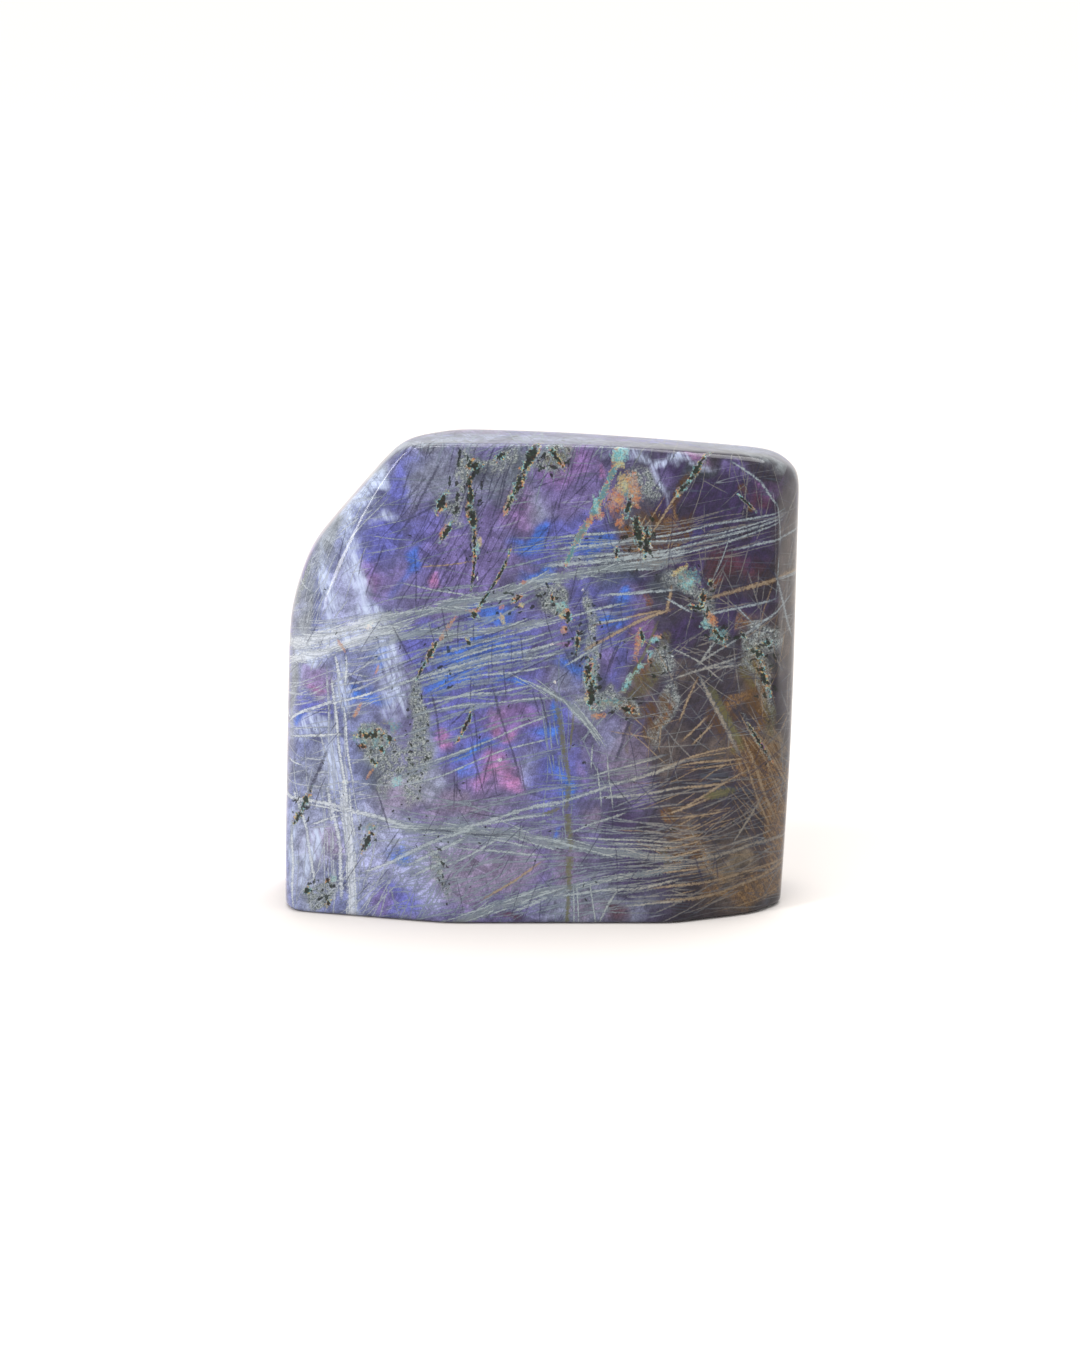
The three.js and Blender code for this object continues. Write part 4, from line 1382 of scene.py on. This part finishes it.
def aimed(lamp, place, target):
    """Puts a lamp or the camera somewhere and turns it to look at a target."""
    lamp.location = place
    lamp.rotation_euler = (Vector(target) - Vector(place)).to_track_quat("-Z", "Y").to_euler()
    scene.collection.objects.link(lamp)


def add_panel(name, place, width, height, radiance):
    """A soft rectangular lamp whose face is this many times as bright as white."""
    light = bpy.data.lights.new(name, "AREA")
    light.shape = "RECTANGLE"
    light.size = width
    light.size_y = height
    light.energy = radiance * width * height * math.pi
    aimed(bpy.data.objects.new(name, light), place, STONE_MIDDLE)


STONE_MIDDLE = (0, 0, 0.042)
# Each panel's name, place, width and height in metres, and its radiance
PANELS = (
    ("left_strip", (-0.62, -0.45, 0.3), 0.15, 0.8, 17.0),
    ("overhead", (-0.16, -0.35, 0.75), 0.34, 0.08, 28.0),
    ("right_strip", (0.7, -0.4, 0.1), 0.06, 0.4, 10.0),
)
for panel in PANELS:
    add_panel(*panel)
SKYLIGHT_PLACE = (0.2, 0.34, 1.2)
SKYLIGHT_ENERGY = 3.2
SKYLIGHT_SPREAD = 50
skylight = bpy.data.lights.new("skylight", "SUN")
skylight.energy = SKYLIGHT_ENERGY
skylight.angle = math.radians(SKYLIGHT_SPREAD)
aimed(bpy.data.objects.new("skylight", skylight), SKYLIGHT_PLACE, STONE_MIDDLE)

# The camera, at the photograph's angle and scale
PHOTO_HEIGHT = 1350
MM_PER_PIXEL = 0.1766
CAMERA_DISTANCE = 700.0
CAMERA_ELEVATION = math.radians(14)
LOOK_AT = (-0.45, 0, 40.45)
camera_data = bpy.data.cameras.new("camera")
camera_data.sensor_fit = "AUTO"
camera_data.sensor_width = 36
camera_data.lens = 36 * CAMERA_DISTANCE / (MM_PER_PIXEL * PHOTO_HEIGHT)
camera = bpy.data.objects.new("camera", camera_data)
look_at = Vector(LOOK_AT) + Vector(SHIFT)
towards_camera = Vector((0, -math.cos(CAMERA_ELEVATION), math.sin(CAMERA_ELEVATION)))
aimed(camera, (look_at + towards_camera * CAMERA_DISTANCE) * MM, look_at * MM)
scene.camera = camera
